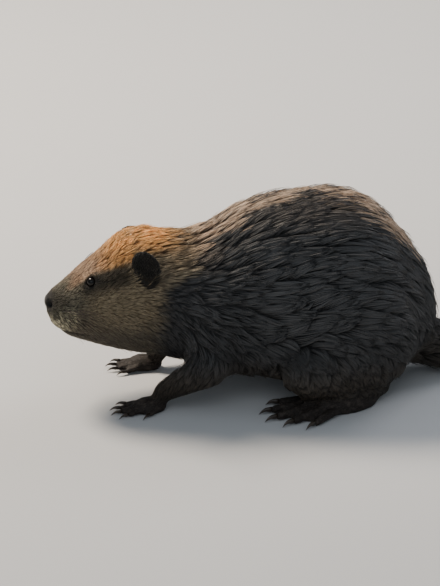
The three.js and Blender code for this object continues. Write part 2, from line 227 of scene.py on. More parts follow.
class Graph:
    """A material's nodes, laid by plain calls."""

    def __init__(self, name: str) -> None:
        """Makes an empty material.

        Args:
            name: The material's name.
        """
        self.material = bpy.data.materials.new(name)
        self.material.use_nodes = True
        self.tree = self.material.node_tree
        self.tree.nodes.clear()

    def node(
        self, kind: str, settings: dict[str, Any] | None = None, values: dict[Any, Any] | None = None
    ) -> bpy.types.Node:
        """Adds a node.

        Args:
            kind: The node's type.
            settings: Its own settings, set before its sockets; a ramp takes its stops as "stops".
            values: What each input socket holds or is linked to, by name or number.

        Returns:
            The node.
        """
        made = self.tree.nodes.new(kind)
        for name, value in (settings or {}).items():
            if name == "stops":
                self._set_stops(made, value)
            else:
                setattr(made, name, value)
        for key, value in (values or {}).items():
            self._fill(made.inputs[key], value)
        return made

    def _fill(self, socket: bpy.types.NodeSocket, value: Any) -> None:
        """Links an input socket, or gives it a constant.

        Args:
            socket: The input socket.
            value: A wire or an output socket to link, or else a number, a vector or a colour.
        """
        if isinstance(value, Wire):
            value = value.socket
        if isinstance(value, bpy.types.NodeSocket):
            self.tree.links.new(value, socket)
        elif socket.type == "RGBA":
            socket.default_value = (*value, 1.0)
        else:
            socket.default_value = value

    @staticmethod
    def _set_stops(ramp_node: bpy.types.Node, stops: Sequence[tuple[float, Colour]]) -> None:
        """Gives a colour ramp its stops.

        Args:
            ramp_node: The ramp.
            stops: Places between 0 and 1, each with its colour.
        """
        elements = ramp_node.color_ramp.elements
        while len(elements) < len(stops):
            elements.new(0.5)
        for element, (place, colour) in zip(elements, stops):
            element.position = place
            element.color = (*colour, 1.0)

    def wire(self, node: bpy.types.Node, output: str | int = 0) -> Wire:
        """A node's output as a number."""
        return Wire(self, node.outputs[output])

    def place(self) -> bpy.types.NodeSocket:
        """The place on the animal, in the row frame."""
        return self.node("ShaderNodeTexCoord").outputs["Object"]

    def parts(self, vector: bpy.types.NodeSocket) -> tuple[Wire, Wire, Wire]:
        """The three numbers of a vector."""
        node = self.node("ShaderNodeSeparateXYZ", values={0: vector})
        return self.wire(node, 0), self.wire(node, 1), self.wire(node, 2)

    def stretched(self, vector: bpy.types.NodeSocket, scale: Sequence[float]) -> bpy.types.NodeSocket:
        """A vector scaled along each axis."""
        node = self.node("ShaderNodeVectorMath", {"operation": "MULTIPLY"}, {0: vector, 1: scale})
        return node.outputs[0]

    def noise(self, vector: bpy.types.NodeSocket, scale: float, detail: float) -> Wire:
        """Soft noise between 0 and 1."""
        values = {"Vector": vector, "Scale": scale, "Detail": detail}
        return self.wire(self.node("ShaderNodeTexNoise", values=values))

    def cells(self, vector: bpy.types.NodeSocket, scale: float) -> Wire:
        """The distance field of scattered cells."""
        node = self.node("ShaderNodeTexVoronoi", values={"Vector": vector, "Scale": scale})
        return self.wire(node, "Distance")

    def number(self, name: str) -> Wire:
        """A number that the mesh carries."""
        return self.wire(self.node("ShaderNodeAttribute", {"attribute_name": name}), "Fac")

    def carried(self, name: str) -> bpy.types.NodeSocket:
        """A vector that the mesh carries."""
        return self.node("ShaderNodeAttribute", {"attribute_name": name}).outputs["Vector"]

    def follow(self, at: Wire, places: Sequence[tuple[float, float]]) -> Wire:
        """The value that (place, value) pairs give a number, both between 0 and 1.

        Args:
            at: The number.
            places: The pairs, their places in rising order.

        Returns:
            The value there.
        """
        stops = [(place, (value, value, value)) for place, value in places]
        return self.wire(self.node("ShaderNodeValToRGB", {"stops": stops}, {"Fac": at}))

    def joined(self, x: Wire, y: Wire, z: Wire) -> bpy.types.NodeSocket:
        """Three numbers as a vector."""
        return self.node("ShaderNodeCombineXYZ", values={0: x, 1: y, 2: z}).outputs[0]

    def mix(self, factor: Wire, first: Any, second: Any) -> bpy.types.NodeSocket:
        """One colour blended into another.

        Args:
            factor: How much of the second shows.
            first: The colour below.
            second: The colour above.

        Returns:
            The colour's socket.
        """
        node = self.node("ShaderNodeMix", {"data_type": "RGBA"})
        shown = [socket for socket in node.inputs if socket.enabled]
        for socket, value in zip(shown, (factor, first, second)):
            self._fill(socket, value)
        return next(socket for socket in node.outputs if socket.enabled)

    def shaded(self, colour: bpy.types.NodeSocket | Colour, by: Wire) -> bpy.types.NodeSocket:
        """A colour made lighter or darker by a number."""
        grey = self.joined(by, by, by)
        return self.node("ShaderNodeVectorMath", {"operation": "MULTIPLY"}, {0: colour, 1: grey}).outputs[0]

    def bump(self, height: Wire, distance: float, strength: float = 1.0) -> bpy.types.NodeSocket:
        """A normal bent by a height."""
        values = {"Height": height, "Distance": distance, "Strength": strength}
        return self.node("ShaderNodeBump", values=values).outputs[0]

    def surface(self, values: dict[str, Any]) -> bpy.types.Node:
        """A Principled shader with these values."""
        return self.node("ShaderNodeBsdfPrincipled", values=values)

    def finish(self, shader: bpy.types.Node) -> bpy.types.Material:
        """Ends the material with this shader."""
        self.node("ShaderNodeOutputMaterial", values={"Surface": shader.outputs[0]})
        return self.material


# ---- Finishes ----


@dataclass(frozen=True)
class Tint:
    """One patch's fur colours, at the roots and at the tips."""

    root: Colour
    tip: Colour


@dataclass(frozen=True)
class Markings:
    """The colours of the coat, worked out from the place on the animal, the same for fur and hide.

    Some of the colours are painted light and shade. Places behind the nose tip and heights are in metres.

    Attributes:
        flank: The dark sides, which the other colours are laid over.
        crown: The rusty top of the head.
        bridge: The top of the muzzle, in front of the crown.
        cheek: The face below the crown.
        muzzle: The cheek's colour towards the nose.
        curls: The pale tufts on the lip pad.
        back: The ridge of the back.
        streak: The pale locks in the cape, partly their own colour and partly painted rim light.
        belly: The underside.
        ear: The nearly black colour of the ears' fur; also laid round the eyes, as dark fur and painted
            socket shadow, as painted shadow under the crown's edge and as painted shade on the tip of the
            snout.
        cape: The lower edge of the pale cape along the back, as places behind the nose tip with its height.
        brow: The two lines that the crown starts from, each as its height at the nose tip and its slope.
        roll: How much the head's markings lean to its right.
        head_back: From the nose tip to the ruff behind the cheek.
        lid_reach: How far the dark goes round the eye, dark fur and painted socket shadow.
    """

    flank: Tint = Tint((0.033, 0.033, 0.034), (0.065, 0.066, 0.068))
    crown: Tint = Tint((0.18, 0.066, 0.018), (0.95, 0.500, 0.170))
    bridge: Tint = Tint((0.10, 0.058, 0.035), (0.50, 0.335, 0.215))
    cheek: Tint = Tint((0.138, 0.107, 0.068), (0.40, 0.322, 0.206))
    muzzle: Tint = Tint((0.022, 0.020, 0.015), (0.29, 0.258, 0.184))
    curls: Tint = Tint((0.07, 0.062, 0.040), (0.88, 0.790, 0.540))
    back: Tint = Tint((0.016, 0.015, 0.014), (0.09, 0.078, 0.070))
    streak: Tint = Tint((0.060, 0.042, 0.030), (0.58, 0.425, 0.300))
    belly: Tint = Tint((0.030, 0.025, 0.020), (0.11, 0.090, 0.070))
    ear: Tint = Tint((0.004, 0.004, 0.003), (0.020, 0.017, 0.013))
    cape: tuple[tuple[float, float], ...] = (
        (0.200, 0.212),
        (0.230, 0.222),
        (0.260, 0.245),
        (0.295, 0.259),
        (0.350, 0.265),
        (0.385, 0.260),
        (0.420, 0.242),
        (0.480, 0.187),
    )
    brow: tuple[tuple[float, float], ...] = ((0.1337, 0.706), (0.158, 0.32))
    roll: float = 0.14
    head_back: float = 0.145
    lid_reach: float = 0.0115

    def paint(
        self, graph: Graph, place: bpy.types.NodeSocket, along: Wire, tone: Wire
    ) -> bpy.types.NodeSocket:
        """Lays the colours, painted light and shade among them.

        Args:
            graph: The material being made.
            place: The place on the animal that the markings follow.
            along: How far from root to tip, 0 to 1.
            tone: Each lock's own lightness, 0 to 1.

        Returns:
            The colour's socket.
        """
        # The places, shifted by soft noise so that no edge is straight
        x, y, z = graph.parts(place)
        wobble = graph.noise(graph.stretched(place, (0.6, 1.0, 1.0)), 38.0, 3.0)
        behind = x - NOSE_TIP + (wobble - 0.5) * 0.026
        level = z + y * self.roll * (1.0 - behind.step(0.18, 0.28)) + (wobble - 0.5) * 0.016

        # The crown: before the ears, behind them and, weakly, on the nape
        (low, steep), (high, gentle) = self.brow
        line = (level - low - behind * steep).at_least(level - high - behind * gentle)
        above = line.step(-0.004, 0.004)
        front = above * behind.band((0.018, 0.040), (0.108, 0.124))
        rear = level.step(0.195, 0.213) * behind.band((0.104, 0.120), (0.142, 0.206))
        nape = level.step(0.172, 0.205) * behind.band((0.130, 0.165), (0.165, 0.235)) * 0.22
        crown = front.at_least(rear).at_least(nape)
        bridge = 1.0 - behind.step(0.050, 0.092)

        # The cheek, as far as the ruff and darker towards it and the throat
        ruff = behind - level.step(0.150, 0.185) * 0.045 - self.head_back
        shade = behind.step(0.122, 0.158) * 0.32 + (1.0 - level.step(0.085, 0.135)) * 0.62
        cheek = (1.0 - ruff.step(-0.012, 0.012)) * (1.0 - shade) * z.step(0.042, 0.060)
        muzzle = 1.0 - behind.step(0.034, 0.064)

        # The ridge of the back, with a cape of pale locks that fades on the far side; the cape is strongest
        # along the back's top, partly painted rim light
        back = level.step(0.225, 0.258) * behind.band((0.190, 0.260), (0.47, 0.53))
        sharp = 1.0 + behind.step(0.26, 0.30) * 2.0 - behind.step(0.38, 0.42) * 2.0
        over = (level + y.step(0.0, 0.040) * 0.013 - graph.follow(behind, self.cape)) * sharp
        far = y.step(0.0, 0.075) * behind.step(0.25, 0.30)
        # Pale locks along the top of the back: the fur's pale tips and painted rim light
        cape = (over.step(-0.022, -0.004) + over.step(-0.004, 0.004)) * (0.50 - far * 0.36)
        streak = (tone + cape * (0.80 - behind.step(0.32, 0.42) * 0.16) - 1.0).step(0.0, 0.14)
        streak = streak * behind.band((0.180, 0.200), (0.485, 0.515))
        belly = 1.0 - z.step(0.030, 0.085)

        # Painted light and shade on the crown and the bridge: the crown lighter above the brow line and
        # towards its back, the bridge darker higher up and towards the nose
        rise = line.step(-0.002, 0.024)
        crown_painted_light = 0.62 + rise * 0.32 + rise * behind.step(0.115, 0.150) * 0.40
        rust_with_painted_light = graph.shaded(self._layer(graph, self.crown, along), crown_painted_light)
        bridge_painted_shade = (1.36 - rise * 0.54) * (0.74 + behind.step(0.024, 0.050) * 0.26)
        brow = graph.mix(bridge, rust_with_painted_light, graph.shaded(self._layer(graph, self.bridge, along), bridge_painted_shade))

        # The colours, each over the ones before it
        colour = self._layer(graph, self.flank, along)
        for share, tint in (
            (belly, self.belly),
            (back, self.back),
            (streak, self.streak),
            (cheek, self.cheek),
            (cheek * muzzle, self.muzzle),
        ):
            colour = graph.mix(share, colour, self._layer(graph, tint, along))
        colour = graph.mix(crown, colour, brow)
        pale = (1.0 - behind.step(0.024, 0.044)) * level.band((0.096, 0.106), (0.124, 0.136))
        colour = graph.mix(pale * tone.step(0.42, 0.54), colour, self._layer(graph, self.curls, along))

        # What is nearly black: the ears; round the eyes, the fur's own dark colour with painted shadow of the
        # sockets; a strip of painted shadow under the crown's edge; and painted shade on the snout's tip
        # Painted shade on the front of the snout
        snout = (1.0 - behind.step(0.004, 0.019)) * 0.35 + (1.0 - behind.step(0.018, 0.032)) * 0.5
        snout = snout * level.band((0.112, 0.124), (0.144, 0.158))
        # Painted shadow just under the crown's edge, from the eye towards the ear
        under = (1.0 - above) * line.step(-0.036, -0.014) * behind.band((0.048, 0.060), (0.094, 0.118))
        # Dark round the eyes: the fur's own colour and painted socket shadow, joined with the painted shadow
        # under the crown
        socket = (self._near_eyes(graph, place) * (1.0 - front)).at_least(under * 0.88)
        dark = socket.at_least(graph.number("ear")).at_least(snout)
        colour = graph.mix(dark, colour, self._layer(graph, self.ear, along))

        # All of it darker towards the floor: painted shade on the lower body, and the feet's own darker
        # colour
        return graph.shaded(colour, 0.40 + z.step(0.01, 0.07) * 0.36 + z.step(0.05, 0.19) * 0.24)

    def _near_eyes(self, graph: Graph, place: bpy.types.NodeSocket) -> Wire:
        """Where it is dark round the eyes and in a streak behind each: the fur's own dark colour and painted
        shadow of the eye sockets.

        Args:
            graph: The material being made.
            place: The place on the animal.

        Returns:
            1 where the fur is dark, falling to 0.
        """
        x, y, z = graph.parts(place)
        reach, ragged = self.lid_reach, graph.noise(place, 260.0, 2.0) * 0.008 - 0.004
        near = []
        for side in SIDES:
            spot = middle(f"eye_{side}")
            back, low = x - spot[0], z - spot[2]
            long = back * 0.85 - back.at_least(0.0) * 0.40
            drop = low - back * 0.30
            away = ((y - spot[1]) ** 2.0 * 0.6 + (drop * 1.05 + abs(drop) * 0.30) ** 2.0 + long**2.0) ** 0.5
            near.append(1.0 - (away + ragged).step(reach * 0.55, reach * 1.5))
        return near[0].at_least(near[1])

    @staticmethod
    def _layer(graph: Graph, tint: Tint, along: Wire) -> bpy.types.NodeSocket:
        """One patch's colour at this place of a lock."""
        return graph.mix(along, tint.root, tint.tip)


@dataclass(frozen=True)
class FurFinish:
    """Wet fur: each lock dark at its root, of its own lightness, drawn into fine hairs and half glossy."""

    markings: Markings = Markings()
    hairs: float = 7.0  # hairs across a lock
    name: str = "wet_fur"

    def material(self) -> bpy.types.Material:
        """Makes the material.

        Returns:
            The material.
        """
        graph = Graph(self.name)
        along, across, tone = graph.number("along"), graph.number("across"), graph.number("tone")
        hairs = graph.noise(graph.joined(across * self.hairs, along * 1.6, tone * 311.0), 1.0, 2.0)
        tips = (along + (hairs - 0.5) * 0.35).step(0.0, 0.62)
        outside = graph.carried("outside")
        calm = (graph.parts(outside)[0] - NOSE_TIP).step(0.19, 0.26)
        colour = self.markings.paint(graph, outside, tips, tone)
        uneven = 0.57 + calm * 0.31 + tone * (0.86 - calm * 0.62)
        colour = graph.shaded(colour, uneven * (0.55 + calm * 0.20 + hairs * (0.9 - calm * 0.4)))
        shader = graph.surface(
            {
                "Base Color": colour,
                "Roughness": 0.50 - tone * 0.10 + hairs * 0.14,
                "Specular IOR Level": 0.42,
                "Normal": graph.bump(hairs, 0.0004, 0.7),
            }
        )
        return graph.finish(shader)


@dataclass(frozen=True)
class HideFinish:
    """The hide under the coat, going over into the bare dark skin of nose, ears, feet and tail."""

    markings: Markings = Markings()
    bare: Colour = (0.018, 0.014, 0.012)
    worn: Colour = (0.055, 0.045, 0.039)
    scaly: Colour = (0.032, 0.027, 0.025)
    pinna: Colour = (0.004, 0.0035, 0.003)
    pad: Colour = (0.006, 0.0055, 0.005)
    name: str = "hide"

    def material(self) -> bpy.types.Material:
        """Makes the material.

        Returns:
            The material.
        """
        graph = Graph(self.name)
        place, outside = graph.place(), graph.carried("outside")
        fur, hollow, scaly = graph.number("fur"), graph.number("hollow"), graph.number("scaly")
        hair = graph.noise(graph.stretched(place, (150.0, 700.0, 700.0)), 1.0, 4.0)
        furred = self.markings.paint(graph, outside, hair * 0.25, 0.4 + hair * 0.2)
        furred = graph.shaded(furred, 0.5 + hair * 0.8)
        grain = graph.cells(place, 700.0)
        creases = graph.noise(place, 160.0, 4.0)
        bare = graph.mix(creases.step(0.45, 0.75), self.bare, self.worn)
        bare = graph.mix(scaly, bare, self.scaly)
        bare = graph.mix(graph.number("ear"), bare, self.pinna)
        bare = graph.mix(graph.number("pad") * (0.7 + creases * 0.3), bare, self.pad)
        # Painted shade in the hollows: the lids, the nostrils, the line between the lips and the groove under
        # the nose
        bare = graph.shaded(bare, 1.0 - hollow * 0.85)
        height = grain * 0.5 + creases * 0.8
        shader = graph.surface(
            {
                "Base Color": graph.mix(fur, bare, furred),
                "Roughness": 0.58 + creases * 0.2 - graph.number("pad") * 0.24,
                "Specular IOR Level": 0.25,
                "Normal": graph.bump(height * (1.0 - fur) + hair * fur * 1.5, 0.0006),
            }
        )
        return graph.finish(shader)


@dataclass(frozen=True)
class ScaleFinish:
    """The tail's horny scales, dark grey with paler worn middles."""

    dark: Colour = (0.022, 0.019, 0.018)
    worn: Colour = (0.085, 0.074, 0.066)
    name: str = "tail_scales"

    def material(self) -> bpy.types.Material:
        """Makes the material.

        Returns:
            The material.
        """
        graph = Graph(self.name)
        place, tone = graph.place(), graph.number("tone")
        grain = graph.noise(place, 900.0, 3.0)
        patches = graph.noise(place, 35.0, 3.0)
        share = (tone * 0.5 + patches * 0.6 - 0.15).at_least(0.0)
        shader = graph.surface(
            {
                "Base Color": graph.mix(share, self.dark, self.worn),
                "Roughness": 0.38 + grain * 0.3,
                "Specular IOR Level": 0.45,
                "Normal": graph.bump(grain, 0.0003),
            }
        )
        return graph.finish(shader)


@dataclass(frozen=True)
class HornFinish:
    """Claw horn: dark, streaked lengthwise, half gloss."""

    dark: Colour = (0.020, 0.014, 0.010)
    light: Colour = (0.14, 0.10, 0.07)
    name: str = "claw_horn"

    def material(self) -> bpy.types.Material:
        """Makes the material.

        Returns:
            The material.
        """
        graph = Graph(self.name)
        streaks = graph.noise(graph.stretched(graph.place(), (90.0, 1100.0, 1100.0)), 1.0, 3.0)
        share = streaks.step(0.4, 0.75) * (0.25 + graph.number("along") * 0.6)
        shader = graph.surface(
            {
                "Base Color": graph.mix(share, self.dark, self.light),
                "Roughness": 0.28 + streaks * 0.2,
                "Normal": graph.bump(streaks, 0.0003),
            }
        )
        return graph.finish(shader)


@dataclass(frozen=True)
class EyeFinish:
    """A wet, nearly black eye with a dark brown iris."""

    pupil: Colour = (0.0012, 0.0011, 0.0011)
    iris: Colour = (0.0060, 0.0040, 0.0030)
    name: str = "eyeball"

    def material(self) -> bpy.types.Material:
        """Makes the material.

        Returns:
            The material.
        """
        graph = Graph(self.name)
        ring, rays = graph.number("along"), graph.noise(graph.place(), 1500.0, 2.0)
        share = ring.band((0.25, 0.38), (0.62, 0.75)) * (0.6 + rays * 0.8)
        shader = graph.surface(
            {
                "Base Color": graph.mix(share, self.pupil, self.iris),
                "Roughness": 0.05 + ring * 0.06,
                "Specular IOR Level": 0.30,
            }
        )
        return graph.finish(shader)


@dataclass(frozen=True)
class WhiskerFinish:
    """Stiff dark whiskers, paler at the tips."""

    root: Colour = (0.009, 0.007, 0.006)
    tip: Colour = (0.12, 0.09, 0.07)
    name: str = "whisker"

    def material(self) -> bpy.types.Material:
        """Makes the material.

        Returns:
            The material.
        """
        graph = Graph(self.name)
        along, tone = graph.number("along"), graph.number("tone")
        colour = graph.mix(along * (0.4 + tone * 0.6), self.root, self.tip)
        values = {"Base Color": colour, "Roughness": 0.5 + tone * 0.15, "Specular IOR Level": 0.25}
        return graph.finish(graph.surface(values))


@dataclass(frozen=True)
class FloorFinish:
    """A plain pale floor."""

    colour: Colour = (0.60, 0.61, 0.62)
    name: str = "floor"

    def material(self) -> bpy.types.Material:
        """Makes the material.

        Returns:
            The material.
        """
        graph = Graph(self.name)
        cloudy = graph.noise(graph.place(), 2.0, 2.0)
        colour = graph.shaded(self.colour, 0.98 + cloudy * 0.04)
        return graph.finish(graph.surface({"Base Color": colour, "Roughness": 0.75}))


# ---- Meshes ----


@dataclass
class Shell:
    """A triangle mesh held as arrays, with smoothing over its edges.

    Attributes:
        points: Places of the vertices.
        faces: Three vertex numbers a face.
        edges: The two vertices of each edge.
        valence: How many edges meet at each vertex.
    """

    points: np.ndarray
    faces: np.ndarray
    edges: np.ndarray = field(init=False)
    valence: np.ndarray = field(init=False)

    def __post_init__(self) -> None:
        """Works out the edges."""
        pairs = np.vstack((self.faces[:, (0, 1)], self.faces[:, (1, 2)], self.faces[:, (2, 0)]))
        pairs.sort(axis=1)
        codes = np.unique(pairs[:, 0].astype(np.int64) * len(self.points) + pairs[:, 1])
        self.edges = np.stack((codes // len(self.points), codes % len(self.points)), axis=1)
        self.valence = np.bincount(self.edges.ravel(), minlength=len(self.points)).astype(float)

    @classmethod
    def of(cls, mesh: bpy.types.Mesh) -> "Shell":
        """A Blender mesh as arrays.

        Args:
            mesh: The Blender mesh.

        Returns:
            Its triangles as a shell.
        """
        points = np.empty(len(mesh.vertices) * 3, np.float32)
        mesh.vertices.foreach_get("co", points)
        mesh.calc_loop_triangles()
        faces = np.empty(len(mesh.loop_triangles) * 3, np.int32)
        mesh.loop_triangles.foreach_get("vertices", faces)
        return cls(points.reshape(-1, 3).astype(float), faces.reshape(-1, 3))

    def around(self, values: np.ndarray) -> np.ndarray:
        """Each vertex's mean of its neighbours' values.

        Args:
            values: A number or vector for each vertex.

        Returns:
            The means.
        """
        flat = values.reshape(len(self.points), -1)
        total = np.empty_like(flat)
        first, second = self.edges.T
        for i in range(flat.shape[1]):
            total[:, i] = np.bincount(first, flat[second, i], len(self.points))
            total[:, i] += np.bincount(second, flat[first, i], len(self.points))
        return (total / np.maximum(self.valence, 1.0)[:, None]).reshape(values.shape)

    def softened(self, values: np.ndarray, rounds: int, share: np.ndarray | float = 0.5) -> np.ndarray:
        """Values smoothed over the surface.

        Args:
            values: A number or vector for each vertex.
            rounds: How often they are averaged.
            share: How far each goes to its neighbours' mean in a round.

        Returns:
            The smoothed values.
        """
        if values.ndim > 1 and np.ndim(share):
            share = np.asarray(share)[:, None]
        for _ in range(rounds):
            values = values + (self.around(values) - values) * share
        return values

    def relax(self, rounds: int, share: np.ndarray | float) -> None:
        """Smooths the shape and swells it back, so that it keeps its size.

        Args:
            rounds: How often.
            share: How far each vertex goes to its neighbours' mean in a round.
        """
        swell = -0.94 * np.asarray(share)
        for _ in range(rounds):
            self.points = self.softened(self.points, 1, share)
            self.points = self.softened(self.points, 1, swell)

    def crosses(self) -> np.ndarray:
        """Each face's normal times twice its area."""
        a, b, c = (self.points[self.faces[:, i]] for i in range(3))
        return np.cross(b - a, c - a)

    def normals(self) -> np.ndarray:
        """Each vertex's outward normal.

        Returns:
            Unit vectors.
        """
        crosses = self.crosses()
        total = np.zeros_like(self.points)
        for corner in range(3):
            for axis in range(3):
                total[:, axis] += np.bincount(self.faces[:, corner], crosses[:, axis], len(self.points))
        return unit(total)

    def tree(self) -> BVHTree:
        """A search tree over the faces."""
        return BVHTree.FromPolygons(self.points.tolist(), self.faces.tolist(), all_triangles=True)


def new_piece(
    name: str,
    points: np.ndarray,
    faces: np.ndarray,
    material: bpy.types.Material,
    numbers: dict[str, np.ndarray] | None = None,
    patches: np.ndarray | None = None,
) -> bpy.types.Object:
    """Makes a smooth-shaded piece that rides on the body.

    Args:
        name: The piece's name.
        points: Places of its vertices.
        faces: Three vertex numbers a face.
        material: Its finish.
        numbers: Numbers or vectors that its vertices carry, by name.
        patches: Map places of its vertices, for the map that colours are kept in.

    Returns:
        The object.
    """
    mesh = bpy.data.meshes.new(name)
    mesh.vertices.add(len(points))
    mesh.vertices.foreach_set("co", points.astype(np.float32).ravel())
    mesh.loops.add(faces.size)
    mesh.loops.foreach_set("vertex_index", faces.astype(np.int32).ravel())
    mesh.polygons.add(len(faces))
    mesh.polygons.foreach_set("loop_start", np.arange(0, faces.size, 3, dtype=np.int32))
    mesh.update(calc_edges=True)
    mesh.shade_smooth()
    for key, values in (numbers or {}).items():
        kind, part = ("FLOAT", "value") if values.ndim == 1 else ("FLOAT_VECTOR", "vector")
        layer = mesh.attributes.new(key, kind, "POINT")
        layer.data.foreach_set(part, values.astype(np.float32).ravel())
    if patches is not None:
        layer = mesh.uv_layers.new(name="OFBake")
        layer.data.foreach_set("uv", patches[faces.ravel()].astype(np.float32).ravel())
    mesh.materials.append(material)
    piece = bpy.data.objects.new(name, mesh)
    bpy.context.scene.collection.objects.link(piece)
    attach(piece, "root")
    LOG.info("%s: %d faces", name, len(faces))
    return piece


# ---- Hide ----


@dataclass
class Hide:
    """The one skin of the animal, inside the coat by the coat's depth.

    Ways and places on the face are given as back, out to the side and up.

    Attributes:
        flesh: The CAD nodes that it stands for.
        voxel: The mesh's spacing.
        overlap: How far the solids are swollen so that they join.
        eye_half: Half of the opening between the lids, along it and across.
        eye_out: The way that the opening looks.
        eye_long: The way that it runs.
        lid: How far the lids stand off the eyeball.
        nostril: Where a nostril is from the nose's middle, in millimetres.
        nostril_half: How far it reaches, in millimetres.
        nostril_deep: How deep it is pressed in.
        shell: The skin's mesh.
        normals: Its vertices' outward normals.
        labels: The number of the node that each vertex belongs to.
        numbers: What the vertices carry, by name.
    """

    flesh: tuple[str, ...]
    voxel: float = 2.8 * MM
    overlap: float = 0.5 * MM
    eye_half: tuple[float, float] = (5.3 * MM, 3.9 * MM)
    eye_out: tuple[float, float, float] = (-0.34, 0.86, 0.38)
    eye_long: tuple[float, float, float] = (1.0, 0.34, 0.16)
    lid: float = 1.0 * MM
    nostril: tuple[float, float, float] = (0.2, 11.8, -2.0)
    nostril_half: tuple[float, float, float] = (6.6, 5.0, 4.6)
    nostril_deep: float = 5.5 * MM
    shell: Shell = field(init=False)
    normals: np.ndarray = field(init=False)
    labels: np.ndarray = field(init=False)
    numbers: dict[str, np.ndarray] = field(init=False, default_factory=dict)

    def build(self) -> None:
        """Makes the skin's shape and what its vertices carry."""
        solids, owners = self._solids()
        self.shell = Shell.of(self._remeshed(solids))
        self.labels = self._owners_of(self.shell.points, solids, owners)
        self._round_off()
        self._sink()
        self._refine()
        self.labels = self._owners_of(self.shell.points, solids, owners)
        self._carve_face()
        self._carry()

    def _solids(self) -> tuple[Shell, np.ndarray]:
        """The flesh nodes as one set of swollen solids, and which node each face is from.

        Returns:
            The solids, and the number of each face's node.
        """
        points, faces, owners, count = [], [], [], 0
        for index, name in enumerate(self.flesh):
            bm = bmesh.new()
            bm.from_mesh(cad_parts[name].data)
            bmesh.ops.remove_doubles(bm, verts=bm.verts, dist=1e-5)
            bmesh.ops.recalc_face_normals(bm, faces=bm.faces)
            mesh = bpy.data.meshes.new("solid")
            bm.to_mesh(mesh)
            bm.free()
            shell = Shell.of(mesh)
            bpy.data.meshes.remove(mesh)
            points.append(shell.points + shell.normals() * self.overlap)
            faces.append(shell.faces + count)
            owners.append(np.full(len(shell.faces), index))
            count += len(shell.points)
        return Shell(np.vstack(points), np.vstack(faces)), np.concatenate(owners)

    def _remeshed(self, solids: Shell) -> bpy.types.Mesh:
        """One even skin over all the solids, without loose bits.

        Args:
            solids: The swollen solids.

        Returns:
            The skin.
        """
        mesh = bpy.data.meshes.new("solids")
        mesh.from_pydata(solids.points.tolist(), [], solids.faces.tolist())
        holder = bpy.data.objects.new("solids", mesh)
        bpy.context.scene.collection.objects.link(holder)
        remesh = holder.modifiers.new("skin", "REMESH")
        remesh.mode, remesh.voxel_size = "VOXEL", self.voxel
        graph = bpy.context.evaluated_depsgraph_get()
        made = bpy.data.meshes.new_from_object(holder.evaluated_get(graph))
        bpy.data.objects.remove(holder)
        return self._largest(made)

    @staticmethod
    def _largest(mesh: bpy.types.Mesh) -> bpy.types.Mesh:
        """Leaves only the largest connected part of a mesh.

        Args:
            mesh: The mesh, which is changed.

        Returns:
            The same mesh.
        """
        count = len(mesh.vertices)
        edges = np.empty(len(mesh.edges) * 2, np.int32)
        mesh.edges.foreach_get("vertices", edges)
        first, second = edges.reshape(-1, 2).T
        group = np.arange(count)
        while True:
            lowest = group.copy()
            np.minimum.at(lowest, first, group[second])
            np.minimum.at(lowest, second, group[first])
            lowest = lowest[lowest]
            if np.array_equal(lowest, group):
                break
            group = lowest
        keep = group == np.bincount(group).argmax()
        bm = bmesh.new()
        bm.from_mesh(mesh)
        bm.verts.ensure_lookup_table()
        bmesh.ops.delete(bm, geom=[bm.verts[i] for i in np.flatnonzero(~keep)], context="VERTS")
        bm.to_mesh(mesh)
        bm.free()
        return mesh

    def _owners_of(self, points: np.ndarray, solids: Shell, owners: np.ndarray) -> np.ndarray:
        """The number of the node nearest to each point."""
        tree = solids.tree()
        return np.array([owners[tree.find_nearest(p)[2]] for p in points.tolist()])

    def share(self, *starts: str) -> np.ndarray:
        """1 at vertices of the nodes whose names start so, else 0."""
        chosen = [i for i, name in enumerate(self.flesh) if name.startswith(starts)]
        return np.isin(self.labels, chosen).astype(float)

    def _round_off(self) -> None:
        """Smooths away the solids' facets, least on small parts."""
        fine = self.share("ear", "nose", "forepaw", "hindfoot", "tail_paddle")
        fine = self.shell.softened(fine, 6)
        self.shell.relax(14, 0.5 * (1.0 - 0.75 * fine))
        broad = self.shell.softened(self.share("trunk", "neck", "foreleg", "hindleg"), 8)
        self.shell.relax(45, 0.5 * np.clip(broad * 1.2 - 0.2, 0.0, 1.0))

    def coat_depth(self) -> np.ndarray:
        """How deep the coat is over each vertex.

        Returns:
            The depth at each vertex.
        """
        behind = self.shell.points[:, 0] - NOSE_TIP
        height = self.shell.points[:, 2]
        body = ((0.0, 0.4), (0.03, 1.8), (0.10, 4.2), (0.16, 6.0), (0.24, 8.5), (0.5, 8.5))
        depth = through(body, behind) * MM
        legs = self.share("foreleg", "hindleg")
        depth = np.where(legs > 0, through(((0.02, 1.0), (0.05, 3.0), (0.11, 8.0)), height) * MM, depth)
        bare = self.share("nose", "forepaw", "hindfoot")
        depth = np.where(bare > 0, 0.3 * MM, depth)
        depth = np.where(self.share("ear") > 0, 0.7 * MM, depth)
        depth = np.where(self.share("tail_paddle") > 0, 0.9 * MM, depth)
        root = through(((0.52, 7.0), (0.58, 1.5)), behind) * MM
        depth = np.where(self.share("tail_root") > 0, root, depth)
        return self.shell.softened(depth, 14) * (1.0 - 0.85 * self.near_eye(0.010, 0.024))

    def near_eye(self, full: float, none: float) -> np.ndarray:
        """1 at vertices within one distance of an eye's middle, falling to 0 at the other."""
        away = [np.linalg.norm(self.shell.points - middle(f"eye_{side}"), axis=1) for side in SIDES]
        return 1.0 - ramp(np.minimum(*away), full, none)

    def _sink(self) -> None:
        """Moves the skin inwards by the coat's depth and undoes the swelling."""
        depth = self.coat_depth() + self.overlap
        self.shell.points -= self.shell.softened(self.shell.normals(), 3) * depth[:, None]
        self.shell.points[:, 2] = np.maximum(self.shell.points[:, 2], 0.0)

